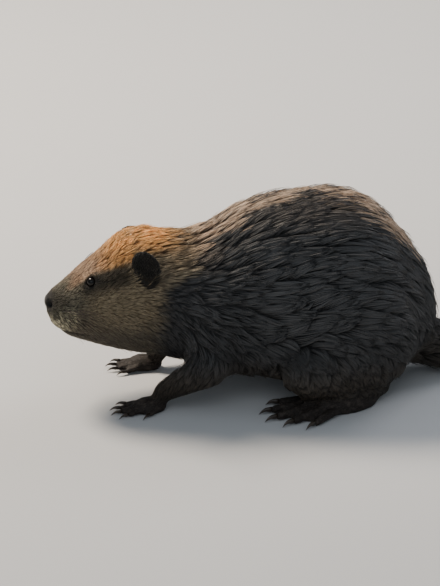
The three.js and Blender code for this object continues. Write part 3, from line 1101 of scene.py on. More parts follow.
    def _refine(self) -> None:
        """Halves the mesh's spacing, twice where it matters, round the eyes, the nose and the mouth."""
        mesh = bpy.data.meshes.new("refined")
        mesh.from_pydata(self.shell.points.tolist(), [], self.shell.faces.tolist())
        bm = bmesh.new()
        bm.from_mesh(mesh)
        for reach in (0.97, 0.61):
            bm.verts.index_update()
            fine = self._on_face(np.array([v.co for v in bm.verts]), reach)
            near = [e for e in bm.edges if fine[e.verts[0].index] and fine[e.verts[1].index]]
            bmesh.ops.subdivide_edges(bm, edges=near, cuts=1, use_grid_fill=True)
            bmesh.ops.triangulate(bm, faces=bm.faces)
        bm.to_mesh(mesh)
        bm.free()
        self.shell = Shell.of(mesh)
        bpy.data.meshes.remove(mesh)
        self.shell.relax(5, 0.5 * self._on_face(self.shell.points, 1.15))

    def _on_face(self, points: np.ndarray, reach: float) -> np.ndarray:
        """Which points are round the eyes, the nose and the mouth.

        Args:
            points: The points.
            reach: How large the regions are, 1 being their own size.

        Returns:
            True for each point in one of them.
        """
        near = np.linalg.norm(points - middle("nose"), axis=1) < 0.027 * reach
        for side in SIDES:
            near |= np.linalg.norm(points - middle(f"eye_{side}"), axis=1) < 0.017 * reach
        back, _, above = self._from_mouth(points)
        near |= (np.abs(above) < 8.0 * reach) & (back < 56.0)
        return near

    @staticmethod
    def _from_mouth(points: np.ndarray) -> tuple[np.ndarray, np.ndarray, np.ndarray]:
        """How far points are behind the nose, left of its middle and above the lips, in millimetres."""
        back, left, up = (HEAD.local(points) - HEAD.local(middle("nose"))).T / MM
        return back, left, up + 35.0 + 0.09 * back - 2.0 * np.exp(-((left / 9.0) ** 2))

    def _carve_face(self) -> None:
        """Shapes the eyelids, the nostrils, the lip and the mouth."""
        self.numbers["hollow"] = np.zeros(len(self.shell.points))
        for side in SIDES:
            self._carve_eye(side)
            self._carve_nostril(side)
        self._carve_mouth()

    def _carve_eye(self, side: str) -> None:
        """Lays lids round an eyeball and a socket behind it.

        Args:
            side: Which side of the head.
        """
        points, centre = self.shell.points, middle(f"eye_{side}")
        low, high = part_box(f"eye_{side}")
        radius = (high.x - low.x) / 2
        local = HEAD.local(points) - HEAD.local(centre)
        mirror = (1.0, -SIDES[side], 1.0)
        out = unit(np.array(self.eye_out) * mirror)
        long = unit(np.array(self.eye_long) * mirror)
        long = unit(long - out * long.dot(out))
        short = np.cross(out, long)
        a, b, c = local @ long, local @ short, local @ out
        spread = np.sqrt((a / self.eye_half[0]) ** 2 + (b / self.eye_half[1]) ** 2)
        facing = c > -0.002
        rays = unit(local)
        lid = 1.0 - ramp(spread, 1.12, 2.3)
        inside = 1.0 - ramp(spread, 0.86, 1.06)
        brow = np.exp(-((np.abs(spread - 1.35) / 0.3) ** 2)) * 0.6 * MM * (b * np.sign(short[2]) > 0)
        rim = centre + (rays * (radius + self.lid) + out * brow[:, None]) @ HEAD.axes
        deep = centre + (rays * (radius - 2.2 * MM)) @ HEAD.axes
        moved = points + (rim - points) * (lid * facing)[:, None]
        moved += (deep - moved) * (inside * facing)[:, None]
        self.shell.points = moved
        bare = np.exp(-((spread / 1.45) ** 4)) * facing
        # Painted shade on the lids round the eye
        self.numbers["hollow"] = np.maximum(self.numbers["hollow"], bare * 0.75)
        self.numbers.setdefault("lids", np.zeros(len(points)))
        self.numbers["lids"] = np.maximum(self.numbers["lids"], bare)

    def _carve_nostril(self, side: str) -> None:
        """Presses one comma-shaped nostril into the nose.

        Args:
            side: Which side of the head.
        """
        local = HEAD.local(self.shell.points) - HEAD.local(middle("nose"))
        mirror = (1.0, -SIDES[side], 1.0)
        place = np.array(self.nostril) * mirror * MM
        away = (local - place) @ np.diag(1 / np.array(self.nostril_half)) / MM
        away[:, 2] += 0.45 * away[:, 0]
        near = np.exp(-np.sum(away**2, axis=1))
        inwards = np.array((0.75, -0.65, 0.0)) * mirror @ HEAD.axes
        self.shell.points = self.shell.points + inwards * (near * self.nostril_deep)[:, None]
        wing = np.exp(-((np.sqrt(np.sum(away**2, axis=1)) - 1.7) ** 2) * 5.0) * 0.6 * MM
        self.shell.points -= inwards * wing[:, None]
        # Painted shade inside the nostril
        self.numbers["hollow"] = np.maximum(self.numbers["hollow"], ramp(near, 0.09, 0.38))

    def _carve_mouth(self) -> None:
        """Cuts the groove under the nose and the line between the lips."""
        back, left, above = self._from_mouth(self.shell.points)
        normals = self.shell.normals()
        groove = np.exp(-((left / 1.5) ** 2)) * ramp(above, -0.5, 1.5)
        groove = groove * (1.0 - ramp(above, 22.0, 27.0)) * (back < 26)
        ends = 1.0 - ramp(back, 36.0, 52.0)
        lips = np.exp(-((above / 1.5) ** 2)) * ends
        upper = np.exp(-(((above - 5.5) / 3.6) ** 2)) * ends
        lower = np.exp(-(((above + 4.5) / 3.0) ** 2)) * ends
        shift = upper * 1.4 + lower * 0.7 - lips * 3.2 - groove * 2.0
        self.shell.points = self.shell.points + normals * (shift * MM)[:, None]
        # Painted shade in the line between the lips and in the groove under the nose
        self.numbers["hollow"] = np.maximum(self.numbers["hollow"], np.maximum(lips, groove * 0.8))
        parting = ends * ramp(above, -2.4, -1.2) * (1.0 - ramp(above, 1.8, 3.4))
        self.numbers["lips"] = np.maximum(parting, groove)

    def near_mouth(self) -> np.ndarray:
        """1 at vertices by the line between the lips, falling to 0 some way off."""
        back, _, above = self._from_mouth(self.shell.points)
        return np.exp(-(((above - 2.0) / 8.0) ** 2)) * (1.0 - ramp(back, 40.0, 60.0))

    def _carry(self) -> None:
        """Works out what the vertices carry: where fur, bare skin and scales are."""
        self.normals = self.shell.normals()
        fur = 1.0 - self.share("nose", "forepaw", "hindfoot", "tail_paddle", "ear")
        fur = self.shell.softened(fur, 4)
        bare = np.maximum(self.numbers["lids"], self.numbers["lips"])
        self.numbers["fur"] = np.clip(fur * (1.0 - bare), 0.0, 1.0)
        self.numbers["scaly"] = self.shell.softened(self.share("tail_paddle"), 2)
        self.numbers["ear"] = self.shell.softened(self.share("ear"), 2)
        self.numbers["pad"] = self.shell.softened(self.share("nose"), 2)
        self.numbers["outside"] = self.shell.points + self.normals * self.coat_depth()[:, None]

    def dress(self) -> bpy.types.Object:
        """Makes the hide's piece.

        Returns:
            The piece.
        """
        numbers = {key: self.numbers[key] for key in ("fur", "hollow", "scaly", "ear", "pad", "outside")}
        material = HideFinish().material()
        piece = new_piece("hide", self.shell.points, self.shell.faces, material, numbers)
        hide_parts(*self.flesh)
        return piece


# ---- Coat ----


class Patch(Enum):
    """The stretches that the coat is made in."""

    FACE = "face"
    CHEEK = "cheek"
    CROWN = "crown"
    NECK = "neck"
    BACK = "back"
    LEFT = "left_flank"
    RIGHT = "right_flank"
    RUMP = "rump"
    BELLY = "belly"
    FEET = "feet"
    EARS = "ears"


@dataclass(frozen=True)
class Cut:
    """How one stretch's locks are made.

    Attributes:
        count: How many locks.
        rings: Rings along a lock, the tip included.
        tuft: Locks to a tuft.
        bunch: Locks to a wet bunch of tufts.
        pull: How far the tips of a tuft draw together.
        draw: How far the tufts of a bunch draw together.
        uneven: How much the bunches differ in height.
        sway: How much the bunches differ in their way.
        slim: How wide a lock is for its length.
        stray: The share of tufts that stand out from the rest.
    """

    count: int
    rings: int
    tuft: int
    bunch: int
    pull: float
    draw: float
    uneven: float
    sway: float
    slim: float
    stray: float


@dataclass(frozen=True)
class Comb:
    """How the hair lies and how long it is over the animal's side.

    Attributes:
        table: Places behind the nose tip and above the floor in millimetres, with the hair's way there in
            degrees up from straight back and its length in millimetres.
        reach: How far each place's sway goes.
    """

    table: tuple[tuple[float, float, float, float], ...] = (
        (6, 150, 55, 4), (28, 160, 45, 6), (50, 182, 42, 9), (78, 200, 44, 14), (104, 222, 38, 18),
        (130, 230, 14, 22), (155, 224, 4, 26), (62, 172, 32, 8), (90, 182, 28, 11), (112, 195, 26, 15),
        (22, 140, 5, 5), (45, 145, 4, 6), (80, 150, 4, 8), (115, 155, 0, 10), (8, 115, -75, 6),
        (22, 112, -50, 8), (42, 115, -25, 7), (72, 115, -12, 8), (104, 118, -16, 9), (135, 135, -20, 13),
        (150, 165, -12, 18), (60, 82, -20, 8), (100, 78, -28, 11), (140, 88, -38, 17), (165, 122, -38, 22),
        (168, 190, 6, 26), (186, 218, 16, 30), (192, 172, -10, 28), (200, 140, -28, 30), (200, 90, -30, 30),
        (208, 206, 30, 34), (226, 228, 46, 38), (226, 196, 26, 36), (232, 170, 0, 36), (240, 140, -14, 36),
        (240, 90, -18, 34), (250, 242, 36, 42), (270, 215, 22, 42), (280, 190, 12, 42), (290, 160, 6, 40),
        (280, 120, 0, 38), (280, 60, -5, 34), (300, 255, 15, 44), (340, 262, 0, 44), (340, 220, 2, 46),
        (340, 180, 8, 46), (330, 140, 14, 44), (330, 100, 15, 42), (330, 50, 5, 32), (385, 262, -8, 44),
        (390, 220, -10, 46), (390, 180, -4, 46), (390, 140, 10, 44), (390, 90, 12, 40), (430, 245, -32, 42),
        (435, 200, -24, 40), (435, 150, -6, 40), (435, 90, 0, 36), (468, 210, -54, 38), (468, 160, -42, 36),
        (468, 100, -34, 34), (498, 165, -72, 34), (498, 100, -55, 32), (515, 60, -20, 26),
    )
    reach: float = 17.0

    def over(self, points: np.ndarray) -> tuple[np.ndarray, np.ndarray]:
        """The way up from straight back in radians, and the length in metres, at each point.

        Args:
            points: Points of the row frame.

        Returns:
            The ways and the lengths.
        """
        places = np.stack((points[:, 0] - NOSE_TIP, points[:, 2]), axis=1) / MM
        table = np.array(self.table, dtype=float)
        away = ((places[:, None] - table[None, :, :2]) ** 2).sum(axis=2)
        weights = np.exp(-(away - away.min(axis=1, keepdims=True)) / (2 * self.reach**2))
        weights /= weights.sum(axis=1, keepdims=True)
        return np.radians(weights @ table[:, 2]), weights @ table[:, 3] * MM


@dataclass
class Coat:
    """The wet fur: locks rooted in the hide, lying back along the body and drawn together in bunches.

    Attributes:
        hide: The skin that they are rooted in.
        comb: How they lie and how long they are.
        seed: The random draws' seed.
        patch_size: How much of the flat map one lock takes up.
        least_width: What the thinnest lock measures across.
        clear: How far above the floor locks stay.
        slender: How much a distance along the body counts, beside one across, when bunches are gathered.
        cuts: How each stretch is made.
        rng: Where the random draws come from.
        tree: A search tree over the hide.
        lie: The way that the hair lies at each of the hide's vertices.
        length: Its length there.
        depth: The coat's depth there.
        unwrap: The vertices' places on the flat map.
    """

    hide: Hide
    comb: Comb = Comb()
    seed: int = 7
    patch_size: float = 0.003
    least_width: float = 0.42 * MM
    clear: float = 1.2 * MM
    slender: float = 0.6
    cuts: dict[Patch, Cut] = field(
        default_factory=lambda: {
            Patch.FACE: Cut(14000, 3, 4, 12, 0.35, 0.15, 0.22, 0.16, 0.036, 0.02),
            Patch.CHEEK: Cut(10000, 3, 4, 14, 0.45, 0.25, 0.20, 0.14, 0.032, 0.02),
            Patch.CROWN: Cut(7200, 5, 6, 20, 0.78, 0.50, 0.34, 0.14, 0.030, 0.03),
            Patch.NECK: Cut(8600, 5, 6, 22, 0.75, 0.52, 0.30, 0.18, 0.034, 0.04),
            Patch.BACK: Cut(8600, 5, 6, 34, 0.75, 0.58, 0.22, 0.16, 0.034, 0.05),
            Patch.LEFT: Cut(8600, 5, 7, 64, 0.66, 0.66, 0.18, 0.15, 0.036, 0.01),
            Patch.RIGHT: Cut(8400, 5, 7, 64, 0.66, 0.66, 0.18, 0.15, 0.036, 0.01),
            Patch.RUMP: Cut(8600, 5, 6, 48, 0.70, 0.62, 0.20, 0.16, 0.036, 0.04),
            Patch.BELLY: Cut(4600, 5, 6, 24, 0.70, 0.40, 0.20, 0.16, 0.044, 0.01),
            Patch.FEET: Cut(4000, 3, 3, 12, 0.30, 0.10, 0.20, 0.20, 0.060, 0.0),
            Patch.EARS: Cut(1600, 3, 3, 12, 0.30, 0.10, 0.30, 0.20, 0.060, 0.0),
        }
    )
    rng: np.random.Generator = field(init=False)
    tree: BVHTree = field(init=False)
    lie: np.ndarray = field(init=False)
    length: np.ndarray = field(init=False)
    depth: np.ndarray = field(init=False)
    unwrap: np.ndarray = field(init=False)

    def build(self) -> list[bpy.types.Object]:
        """Makes every stretch of the coat.

        Returns:
            The pieces, one for each stretch.
        """
        self.rng = np.random.default_rng(self.seed)
        self.tree = self.hide.shell.tree()
        self.lie, self.length = self._combed()
        self.depth = self.hide.coat_depth()
        self.unwrap = self._unwrap()
        material = FurFinish().material()
        owners = self._owners()
        return [
            self._stretch(patch, cut, owners == number, material)
            for number, (patch, cut) in enumerate(self.cuts.items())
        ]

    def _combed(self) -> tuple[np.ndarray, np.ndarray]:
        """The way that the hair lies and its length at each vertex.

        Returns:
            The ways as unit vectors, and the lengths.
        """
        hide, points, normals = self.hide, self.hide.shell.points, self.hide.normals
        behind, height = points[:, 0] - NOSE_TIP, points[:, 2]
        angle, length = self.comb.over(points)
        way = np.stack((np.cos(angle), np.zeros(len(points)), np.sin(angle)), axis=1)
        fore = hide.share("foreleg") * (1.0 - ramp(height, 0.05, 0.12))
        hind = hide.share("hindleg") * (1.0 - ramp(height, 0.05, 0.15))
        way += fore[:, None] * (np.array((-0.6, 0.0, -1.0)) - way) * 0.9
        way += hind[:, None] * (np.array((0.1, 0.0, -1.0)) - way) * 0.8
        feet = hide.share("forepaw", "hindfoot")
        way += feet[:, None] * (np.array((-1.0, 0.0, -0.2)) - way)
        ears = hide.share("ear")
        way += ears[:, None] * (np.array((0.25, 0.0, 1.0)) - way)
        snout = (1.0 - ramp(behind, 0.004, 0.030))[:, None]
        way += (unit(points - middle("nose")) - way) * snout * 0.8
        for side in SIDES:
            away = points - middle(f"eye_{side}")
            near = 1.0 - ramp(np.linalg.norm(away, axis=1), 0.007, 0.017)
            way += (unit(away) * 0.9 + np.array((0.5, 0.0, 0.2)) - way) * near[:, None]
        way = tangent(way, normals)
        for _ in range(2):
            way = tangent(hide.shell.softened(way, 5), normals)
        legs = hide.share("foreleg", "hindleg") > 0
        short = through(((0.02, 7.0), (0.05, 14.0), (0.13, 38.0)), height) * MM
        length = np.where(legs, np.minimum(length, short), length)
        length = np.where(hide.share("forepaw", "hindfoot", "nose") > 0, 4.5 * MM, length)
        length = np.where(ears > 0, 5.5 * MM, length)
        root = through(((0.52, 30.0), (0.58, 10.0)), behind) * MM
        length = np.where(hide.share("tail_root") > 0, root, length)
        length = hide.shell.softened(length, 8)
        length -= (length - 3.2 * MM) * hide.near_eye(0.009, 0.022)
        return way, length - (length - 4.0 * MM) * hide.near_mouth()

    def _owners(self) -> np.ndarray:
        """The number of the stretch that each face of the hide belongs to.

        Returns:
            The stretches' numbers, in the order of the cuts.
        """
        hide = self.hide
        places = hide.shell.points[hide.shell.faces].mean(axis=1)
        normals = unit(hide.shell.crosses())
        behind = places[:, 0] - NOSE_TIP
        order = list(self.cuts)
        labels = hide.labels[hide.shell.faces[:, 0]]
        names = np.array(hide.flesh)[labels]
        sideways = 0.62  # how far a face looks to one side to be part of a flank
        owners = np.full(len(places), order.index(Patch.BACK))
        owners[normals[:, 1] < -sideways] = order.index(Patch.LEFT)
        owners[normals[:, 1] > sideways] = order.index(Patch.RIGHT)
        owners[normals[:, 2] < -0.45] = order.index(Patch.BELLY)
        owners[behind > 0.44] = order.index(Patch.RUMP)
        for end, patch in ((0.255, Patch.NECK), (0.165, Patch.CHEEK), (0.090, Patch.FACE)):
            owners[behind < end] = order.index(patch)
        level = places[:, 2] + places[:, 1] * Markings.roll
        brow = np.minimum(0.130 + behind * 0.706, 0.154 + behind * 0.32)
        owners[(behind < 0.165) & (behind > 0.035) & (level > brow)] = order.index(Patch.CROWN)
        feet = np.char.startswith(names, "forepaw") | np.char.startswith(names, "hindfoot")
        owners[feet] = order.index(Patch.FEET)
        owners[np.char.startswith(names, "ear")] = order.index(Patch.EARS)
        return owners

    def _unwrap(self) -> np.ndarray:
        """A flat map of the hide: the body rolled out from nose to tail, and a tile for each leg.

        Returns:
            Each vertex's place on the map, between 0 and 1.
        """
        hide, points = self.hide, self.hide.shell.points
        core, margin = 0.12, 0.02  # the height that the body is rolled out round, and the map's edge
        spine = (points[:, 0] - NOSE_TIP) / (TAIL_TIP - NOSE_TIP)
        turn = np.arctan2(points[:, 1], points[:, 2] - core) / (2 * math.pi) + 0.5
        flat = np.stack((margin + 0.96 * spine, margin + 0.60 * turn), axis=1)
        legs = [f"{kind}_{side}" for kind in ("fore", "hind") for side in SIDES]
        for number, leg in enumerate(legs):
            kind, side = leg.split("_")
            mine = hide.share(f"{kind}leg_{side}", f"{kind}paw_{side}", f"{kind}foot_{side}") > 0
            low, high = points[mine].min(axis=0), points[mine].max(axis=0)
            part = (points[mine] - low) / (high - low)
            inner = hide.normals[mine][:, 1] * SIDES[side] < 0
            flat[mine, 0] = margin + 0.25 * number + 0.105 * (part[:, 0] + inner)
            flat[mine, 1] = 0.66 + 0.32 * part[:, 2]
        return flat

    def _roots(self, patch: Patch, faces: np.ndarray) -> tuple[np.ndarray, np.ndarray]:
        """Picks root places.

        Args:
            patch: Which stretch.
            faces: The hide's faces in it.

        Returns:
            The face that each root is on, and its weights there.
        """
        shell, count = self.hide.shell, self.cuts[patch].count
        area = np.linalg.norm(shell.crosses()[faces], axis=1)
        corners = shell.faces[faces]
        cover = self.hide.numbers["fur"][corners].mean(axis=1)
        bare = patch in (Patch.FEET, Patch.EARS)
        wanted = area * (0.25 + cover if bare else np.maximum(cover - 0.35, 0.0))
        wanted /= self.length[corners].mean(axis=1) ** 0.9
        steps = np.cumsum(wanted / wanted.sum())
        draws = (np.arange(count) + self.rng.random(count)) / count
        picked = faces[np.minimum(np.searchsorted(steps, draws), len(faces) - 1)]
        return picked, self.rng.dirichlet((1.0, 1.0, 1.0), count)

    def _on(self, values: np.ndarray, faces: np.ndarray, weights: np.ndarray) -> np.ndarray:
        """Vertex values at places on the hide's faces.

        Args:
            values: A number or vector for each vertex.
            faces: The hide's faces.
            weights: Where on each face, as its corners' weights.

        Returns:
            The values there.
        """
        corners = values[self.hide.shell.faces[faces]]
        if values.ndim == 1:
            return np.sum(corners * weights, axis=1)
        return np.einsum("nij,ni->nj", corners, weights)

    def _trace(
        self, roots: np.ndarray, ways: np.ndarray, lengths: np.ndarray, rings: int
    ) -> tuple[np.ndarray, np.ndarray]:
        """Leads paths over the hide from their roots.

        Args:
            roots: Where the paths start.
            ways: The way each sets out.
            lengths: How long each is.
            rings: Points on each.

        Returns:
            The points and the hide's normals there, ring by ring.
        """
        shell = self.hide.shell
        here, way = roots, ways
        points, normals = [here], []
        for ring in range(rings):
            found = [self.tree.find_nearest(p) for p in here.tolist()]
            here = np.array([f[0] for f in found])
            corners = shell.faces[[f[2] for f in found]]
            normal = unit(self.hide.normals[corners].mean(axis=1))
            normals.append(normal)
            points[ring] = here
            lead = self.lie[corners].mean(axis=1)
            way = tangent(way + 0.35 * lead, normal)
            if ring < rings - 1:
                here = here + way * (lengths / (rings - 1))[:, None]
                points.append(here)
        return np.stack(points, axis=1), np.stack(normals, axis=1)

    @staticmethod
    def _turned(ways: np.ndarray, normals: np.ndarray, angles: np.ndarray) -> np.ndarray:
        """Ways turned in the surface by angles."""
        return ways * np.cos(angles)[:, None] + np.cross(normals, ways) * np.sin(angles)[:, None]

    def _stretch(
        self, patch: Patch, cut: Cut, mine: np.ndarray, material: bpy.types.Material
    ) -> bpy.types.Object:
        """Makes the locks of one stretch.

        Args:
            patch: Which stretch.
            cut: How it is made.
            mine: Which faces of the hide it covers.
            material: Its finish.

        Returns:
            The piece.
        """
        # Roots, gathered in tufts round leads, and the tufts in bunches round heads
        rng, count = self.rng, cut.count
        faces, weights = self._roots(patch, np.flatnonzero(mine))
        roots = self._on(self.hide.shell.points, faces, weights)
        normals = unit(self._on(self.hide.normals, faces, weights))
        ways = tangent(self._on(self.lie, faces, weights), normals)
        tufts, leads = self._gathered(roots, count // cut.tuft)
        groups, firsts = self._gathered(roots[leads], count // cut.bunch)
        bunches, heads = groups[tufts], leads[firsts]

        # Paths over the hide, with their ends drawn together
        reach = self._on(self.length, faces, weights)
        lengths = reach * rng.uniform(0.85, 1.08, len(heads))[bunches]
        lengths *= rng.uniform(0.80, 1.10, len(leads))[tufts]
        bend = rng.normal(0.0, cut.sway, len(heads))[bunches] + rng.normal(0.0, 0.08, len(leads))[tufts]
        ways = self._turned(ways, normals, bend + rng.normal(0.0, 0.05, count))
        paths, ups = self._trace(roots, ways, lengths * rng.uniform(0.92, 1.04, count), cut.rings)
        t = np.linspace(0.0, 1.0, cut.rings)
        pull = (cut.pull * rng.uniform(0.70, 1.0, count))[:, None] * t**1.3
        draw = (cut.draw * rng.uniform(0.80, 1.0, len(leads))[tufts])[:, None] * t**1.6
        paths += (paths[leads][tufts] - paths) * pull[:, :, None]
        paths += (paths[heads][bunches] - paths) * draw[:, :, None]

        # How high the locks stand, how wide they are and what they carry
        lift = 1.0 - rng.uniform(0.0, cut.uneven, len(heads))[bunches] + rng.normal(0.0, 0.04, count)
        lift -= rng.uniform(0.0, cut.uneven * 0.6, len(leads))[tufts]
        lift += 0.45 * (rng.random(count) < cut.stray)
        depths = self._on(self.depth, faces, weights)
        rise = depths[:, None] * lift[:, None] * (t**0.7 - 0.15 * t**5)
        centres = paths + ups * (rise - 0.0004 * (t == 0))[:, :, None]
        centres[:, :, 2] = np.maximum(centres[:, :, 2], self.clear)
        widths = (self.least_width + cut.slim * lengths) * rng.uniform(0.7, 1.3, count)
        tones = 0.5 + rng.normal(0.0, 0.13, len(heads))[bunches] + rng.normal(0.0, 0.12, len(leads))[tufts]
        tones += rng.normal(0.0, 0.12, count)
        carried = {
            "tone": np.clip(tones, 0.0, 1.0),
            "outside": (paths + ups * depths[:, None, None])[:, cut.rings // 2],
            "ear": np.full(count, float(patch is Patch.EARS)),
        }
        places = self._on(self.unwrap, faces, weights)
        return self._piece(f"coat_{patch.value}", centres, ups, widths, carried, places, material)

    def _gathered(self, roots: np.ndarray, groups: int) -> tuple[np.ndarray, np.ndarray]:
        """Gathers roots round some of them.

        Args:
            roots: Where the locks start.
            groups: How many groups to make.

        Returns:
            Each root's group, and the number of the root that each group is round.
        """
        heads = self.rng.choice(len(roots), max(1, groups), replace=False)
        places = roots * (self.slender, 1.0, 1.0)
        tree = KDTree(len(heads))
        for number, place in enumerate(places[heads].tolist()):
            tree.insert(place, number)
        tree.balance()
        return np.array([tree.find(p)[1] for p in places.tolist()]), heads

    def _piece(
        self,
        name: str,
        centres: np.ndarray,
        ups: np.ndarray,
        widths: np.ndarray,
        carried: dict[str, np.ndarray],
        places: np.ndarray,
        material: bpy.types.Material,
    ) -> bpy.types.Object:
        """Joins locks into one piece.

        Args:
            name: The piece's name.
            centres: Each lock's middle line, ring by ring, ending in its tip.
            ups: The outward way at each ring.
            widths: Each lock's width.
            carried: What each lock carries, by name.
            places: Each root's place on the flat map.
            material: Its finish.

        Returns:
            The piece.
        """
        count, rings = centres.shape[:2]
        t = np.linspace(0.0, 1.0, rings)
        ahead = np.gradient(centres, axis=1)
        across = unit(np.cross(ups, ahead))
        over = unit(np.cross(ahead, across))
        shape = (0.60 + 0.9 * t - 0.45 * t**2) * (1.0 - t**3)
        half = (widths[:, None] * 0.5 * shape)[:, :, None]
        left, right = centres + across * half, centres - across * half
        ridge = centres + over * half * 0.7
        body = np.stack((left, ridge, right), axis=2)[:, :-1].reshape(count, -1, 3)
        points = np.concatenate((body, centres[:, -1:]), axis=1)
        per = points.shape[1]
        one = self._lock_faces(rings)
        faces = (one[None] + (np.arange(count) * per)[:, None, None]).reshape(-1, 3)
        along = np.append(np.repeat(t[:-1], 3), 1.0)
        sideways = np.append(np.tile((0.0, 0.5, 1.0), rings - 1), 0.5)
        spot = np.stack((sideways, along), axis=1) - 0.5
        patches = (places[:, None] + spot[None] * self.patch_size).reshape(-1, 2)
        numbers = {"along": np.tile(along, count), "across": np.tile(sideways, count)}
        numbers |= {key: np.repeat(values, per, axis=0) for key, values in carried.items()}
        return new_piece(name, points.reshape(-1, 3), faces, material, numbers, patches)

    @staticmethod
    def _lock_faces(rings: int) -> np.ndarray:
        """The faces of one lock: three sides, a base and a pointed tip.

        Args:
            rings: Rings along the lock, the tip included.

        Returns:
            Three vertex numbers a face.
        """
        faces = [(0, 2, 1)]
        for ring in range(rings - 2):
            for i in range(3):
                a, b = 3 * ring + i, 3 * ring + (i + 1) % 3
                faces += [(a, b, b + 3), (a, b + 3, a + 3)]
        last, tip = 3 * (rings - 2), 3 * (rings - 1)
        faces += [(last + i, last + (i + 1) % 3, tip) for i in range(3)]
        return np.array(faces)


# ---- Eyes, whiskers, scales and claws ----


@dataclass
class Eye:
    """A round, wet eyeball with a domed front.

    Attributes:
        side: Which side of the head it is on.
        rings: Bands from its front to its back.
        turns: Faces round it.
        rim: The angle from its front, in radians, that the finish reads as 1.
    """

    side: str
    rings: int = 20
    turns: int = 28
    rim: float = 1.6

    def build(self) -> bpy.types.Object:
        """Makes the eyeball's piece.

        Returns:
            The piece.
        """
        node = f"eye_{self.side}"
        low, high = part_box(node)
        radius = (high.x - low.x) / 2
        out = unit(np.array((-0.34, -0.86 * SIDES[self.side], 0.30)) @ HEAD.axes)
        aside = unit(np.cross(out, (0.0, 0.0, 1.0)))
        above = np.cross(aside, out)
        tilt = np.linspace(0.0, math.pi, self.rings + 1)[1:-1]
        turn = np.linspace(0.0, 2 * math.pi, self.turns, endpoint=False)
        tilts, turns = (grid.ravel() for grid in np.meshgrid(tilt, turn, indexing="ij"))
        reach = radius * (0.985 + 0.015 * np.exp(-((tilts / 0.55) ** 2)))
        reach = np.append(reach, (radius, radius))
        tilts = np.append(tilts, (0.0, math.pi))
        turns = np.append(turns, (0.0, 0.0))
        flat = np.sin(tilts)[:, None] * (np.cos(turns)[:, None] * aside + np.sin(turns)[:, None] * above)
        points = middle(node) + reach[:, None] * (flat + np.cos(tilts)[:, None] * out)
        faces, material = self._faces(len(tilt)), EyeFinish().material()
        numbers = {"along": tilts / self.rim}
        piece = new_piece(f"eyeball_{self.side}", points, faces, material, numbers)
        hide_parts(node)
        return piece

    def _faces(self, rows: int) -> np.ndarray:
        """The ball's faces, its two poles last among the points.

        Args:
            rows: Rings of points between the poles.

        Returns:
            Three vertex numbers a face.
        """
        faces, n = [], self.turns
        front, rear = rows * n, rows * n + 1
        for i in range(n):
            j = (i + 1) % n
            faces.append((front, j, i))
            faces.append((rear, (rows - 1) * n + i, (rows - 1) * n + j))
            for row in range(rows - 1):
                a, b = row * n, (row + 1) * n
                faces += [(a + i, a + j, b + j), (a + i, b + j, b + i)]
        return np.array(faces)


def tube(line: np.ndarray, radii: np.ndarray, sides: int, flat: float = 1.0) -> tuple[np.ndarray, np.ndarray]:
    """A tapered, closed tube along a line.

    Args:
        line: Points from root to tip.
        radii: The radius at each, the last being the tip's.
        sides: Sides of each ring.
        flat: How much narrower it is sideways than up and down.

    Returns:
        Points and faces.
    """
    ahead = unit(np.gradient(line, axis=0))
    across = unit(np.cross(ahead, (0.0, 0.0, 1.0)))
    above = np.cross(across, ahead)
    turn = np.linspace(0.0, 2 * math.pi, sides, endpoint=False)
    ring = np.cos(turn)[None, :, None] * across[:, None] * flat + np.sin(turn)[None, :, None] * above[:, None]
    body = line[:, None] + ring * radii[:, None, None]
    points = np.concatenate((body.reshape(-1, 3), line[:1], line[-1:]))
    faces, rows = [], len(line)
    for i in range(sides):
        j = (i + 1) % sides
        faces.append((rows * sides, j, i))
        faces.append((rows * sides + 1, (rows - 1) * sides + i, (rows - 1) * sides + j))
        for row in range(rows - 1):
            a, b = row * sides, (row + 1) * sides
            faces += [(a + i, a + j, b + j), (a + i, b + j, b + i)]
    return points, np.array(faces)


@dataclass
class Bundle:
    """Small closed shapes gathered into one piece.

    Attributes:
        points: Each shape's points.
        faces: Each shape's faces, numbered through.
        along: How far from root to tip each point is.
        tone: Each point's lightness.
        count: How many points there are so far.
    """

    points: list[np.ndarray] = field(default_factory=list)
    faces: list[np.ndarray] = field(default_factory=list)
    along: list[np.ndarray] = field(default_factory=list)
    tone: list[np.ndarray] = field(default_factory=list)
    count: int = 0

    def add(self, points: np.ndarray, faces: np.ndarray, along: np.ndarray, tone: float) -> None:
        """Adds one shape with what its points carry.

        Args:
            points: Its points.
            faces: Its faces, numbered from its own first point.
            along: How far from root to tip each point is, 0 to 1.
            tone: Its lightness, 0 to 1.
        """
        self.points.append(points)
        self.faces.append(faces + self.count)
        self.along.append(along)
        self.tone.append(np.full(len(points), tone))
        self.count += len(points)

    def piece(self, name: str, material: bpy.types.Material, slot: Slot) -> bpy.types.Object:
        """Makes the piece."""
        numbers = {"along": np.concatenate(self.along), "tone": np.concatenate(self.tone)}
        return new_piece(name, np.vstack(self.points), np.vstack(self.faces), material, numbers)


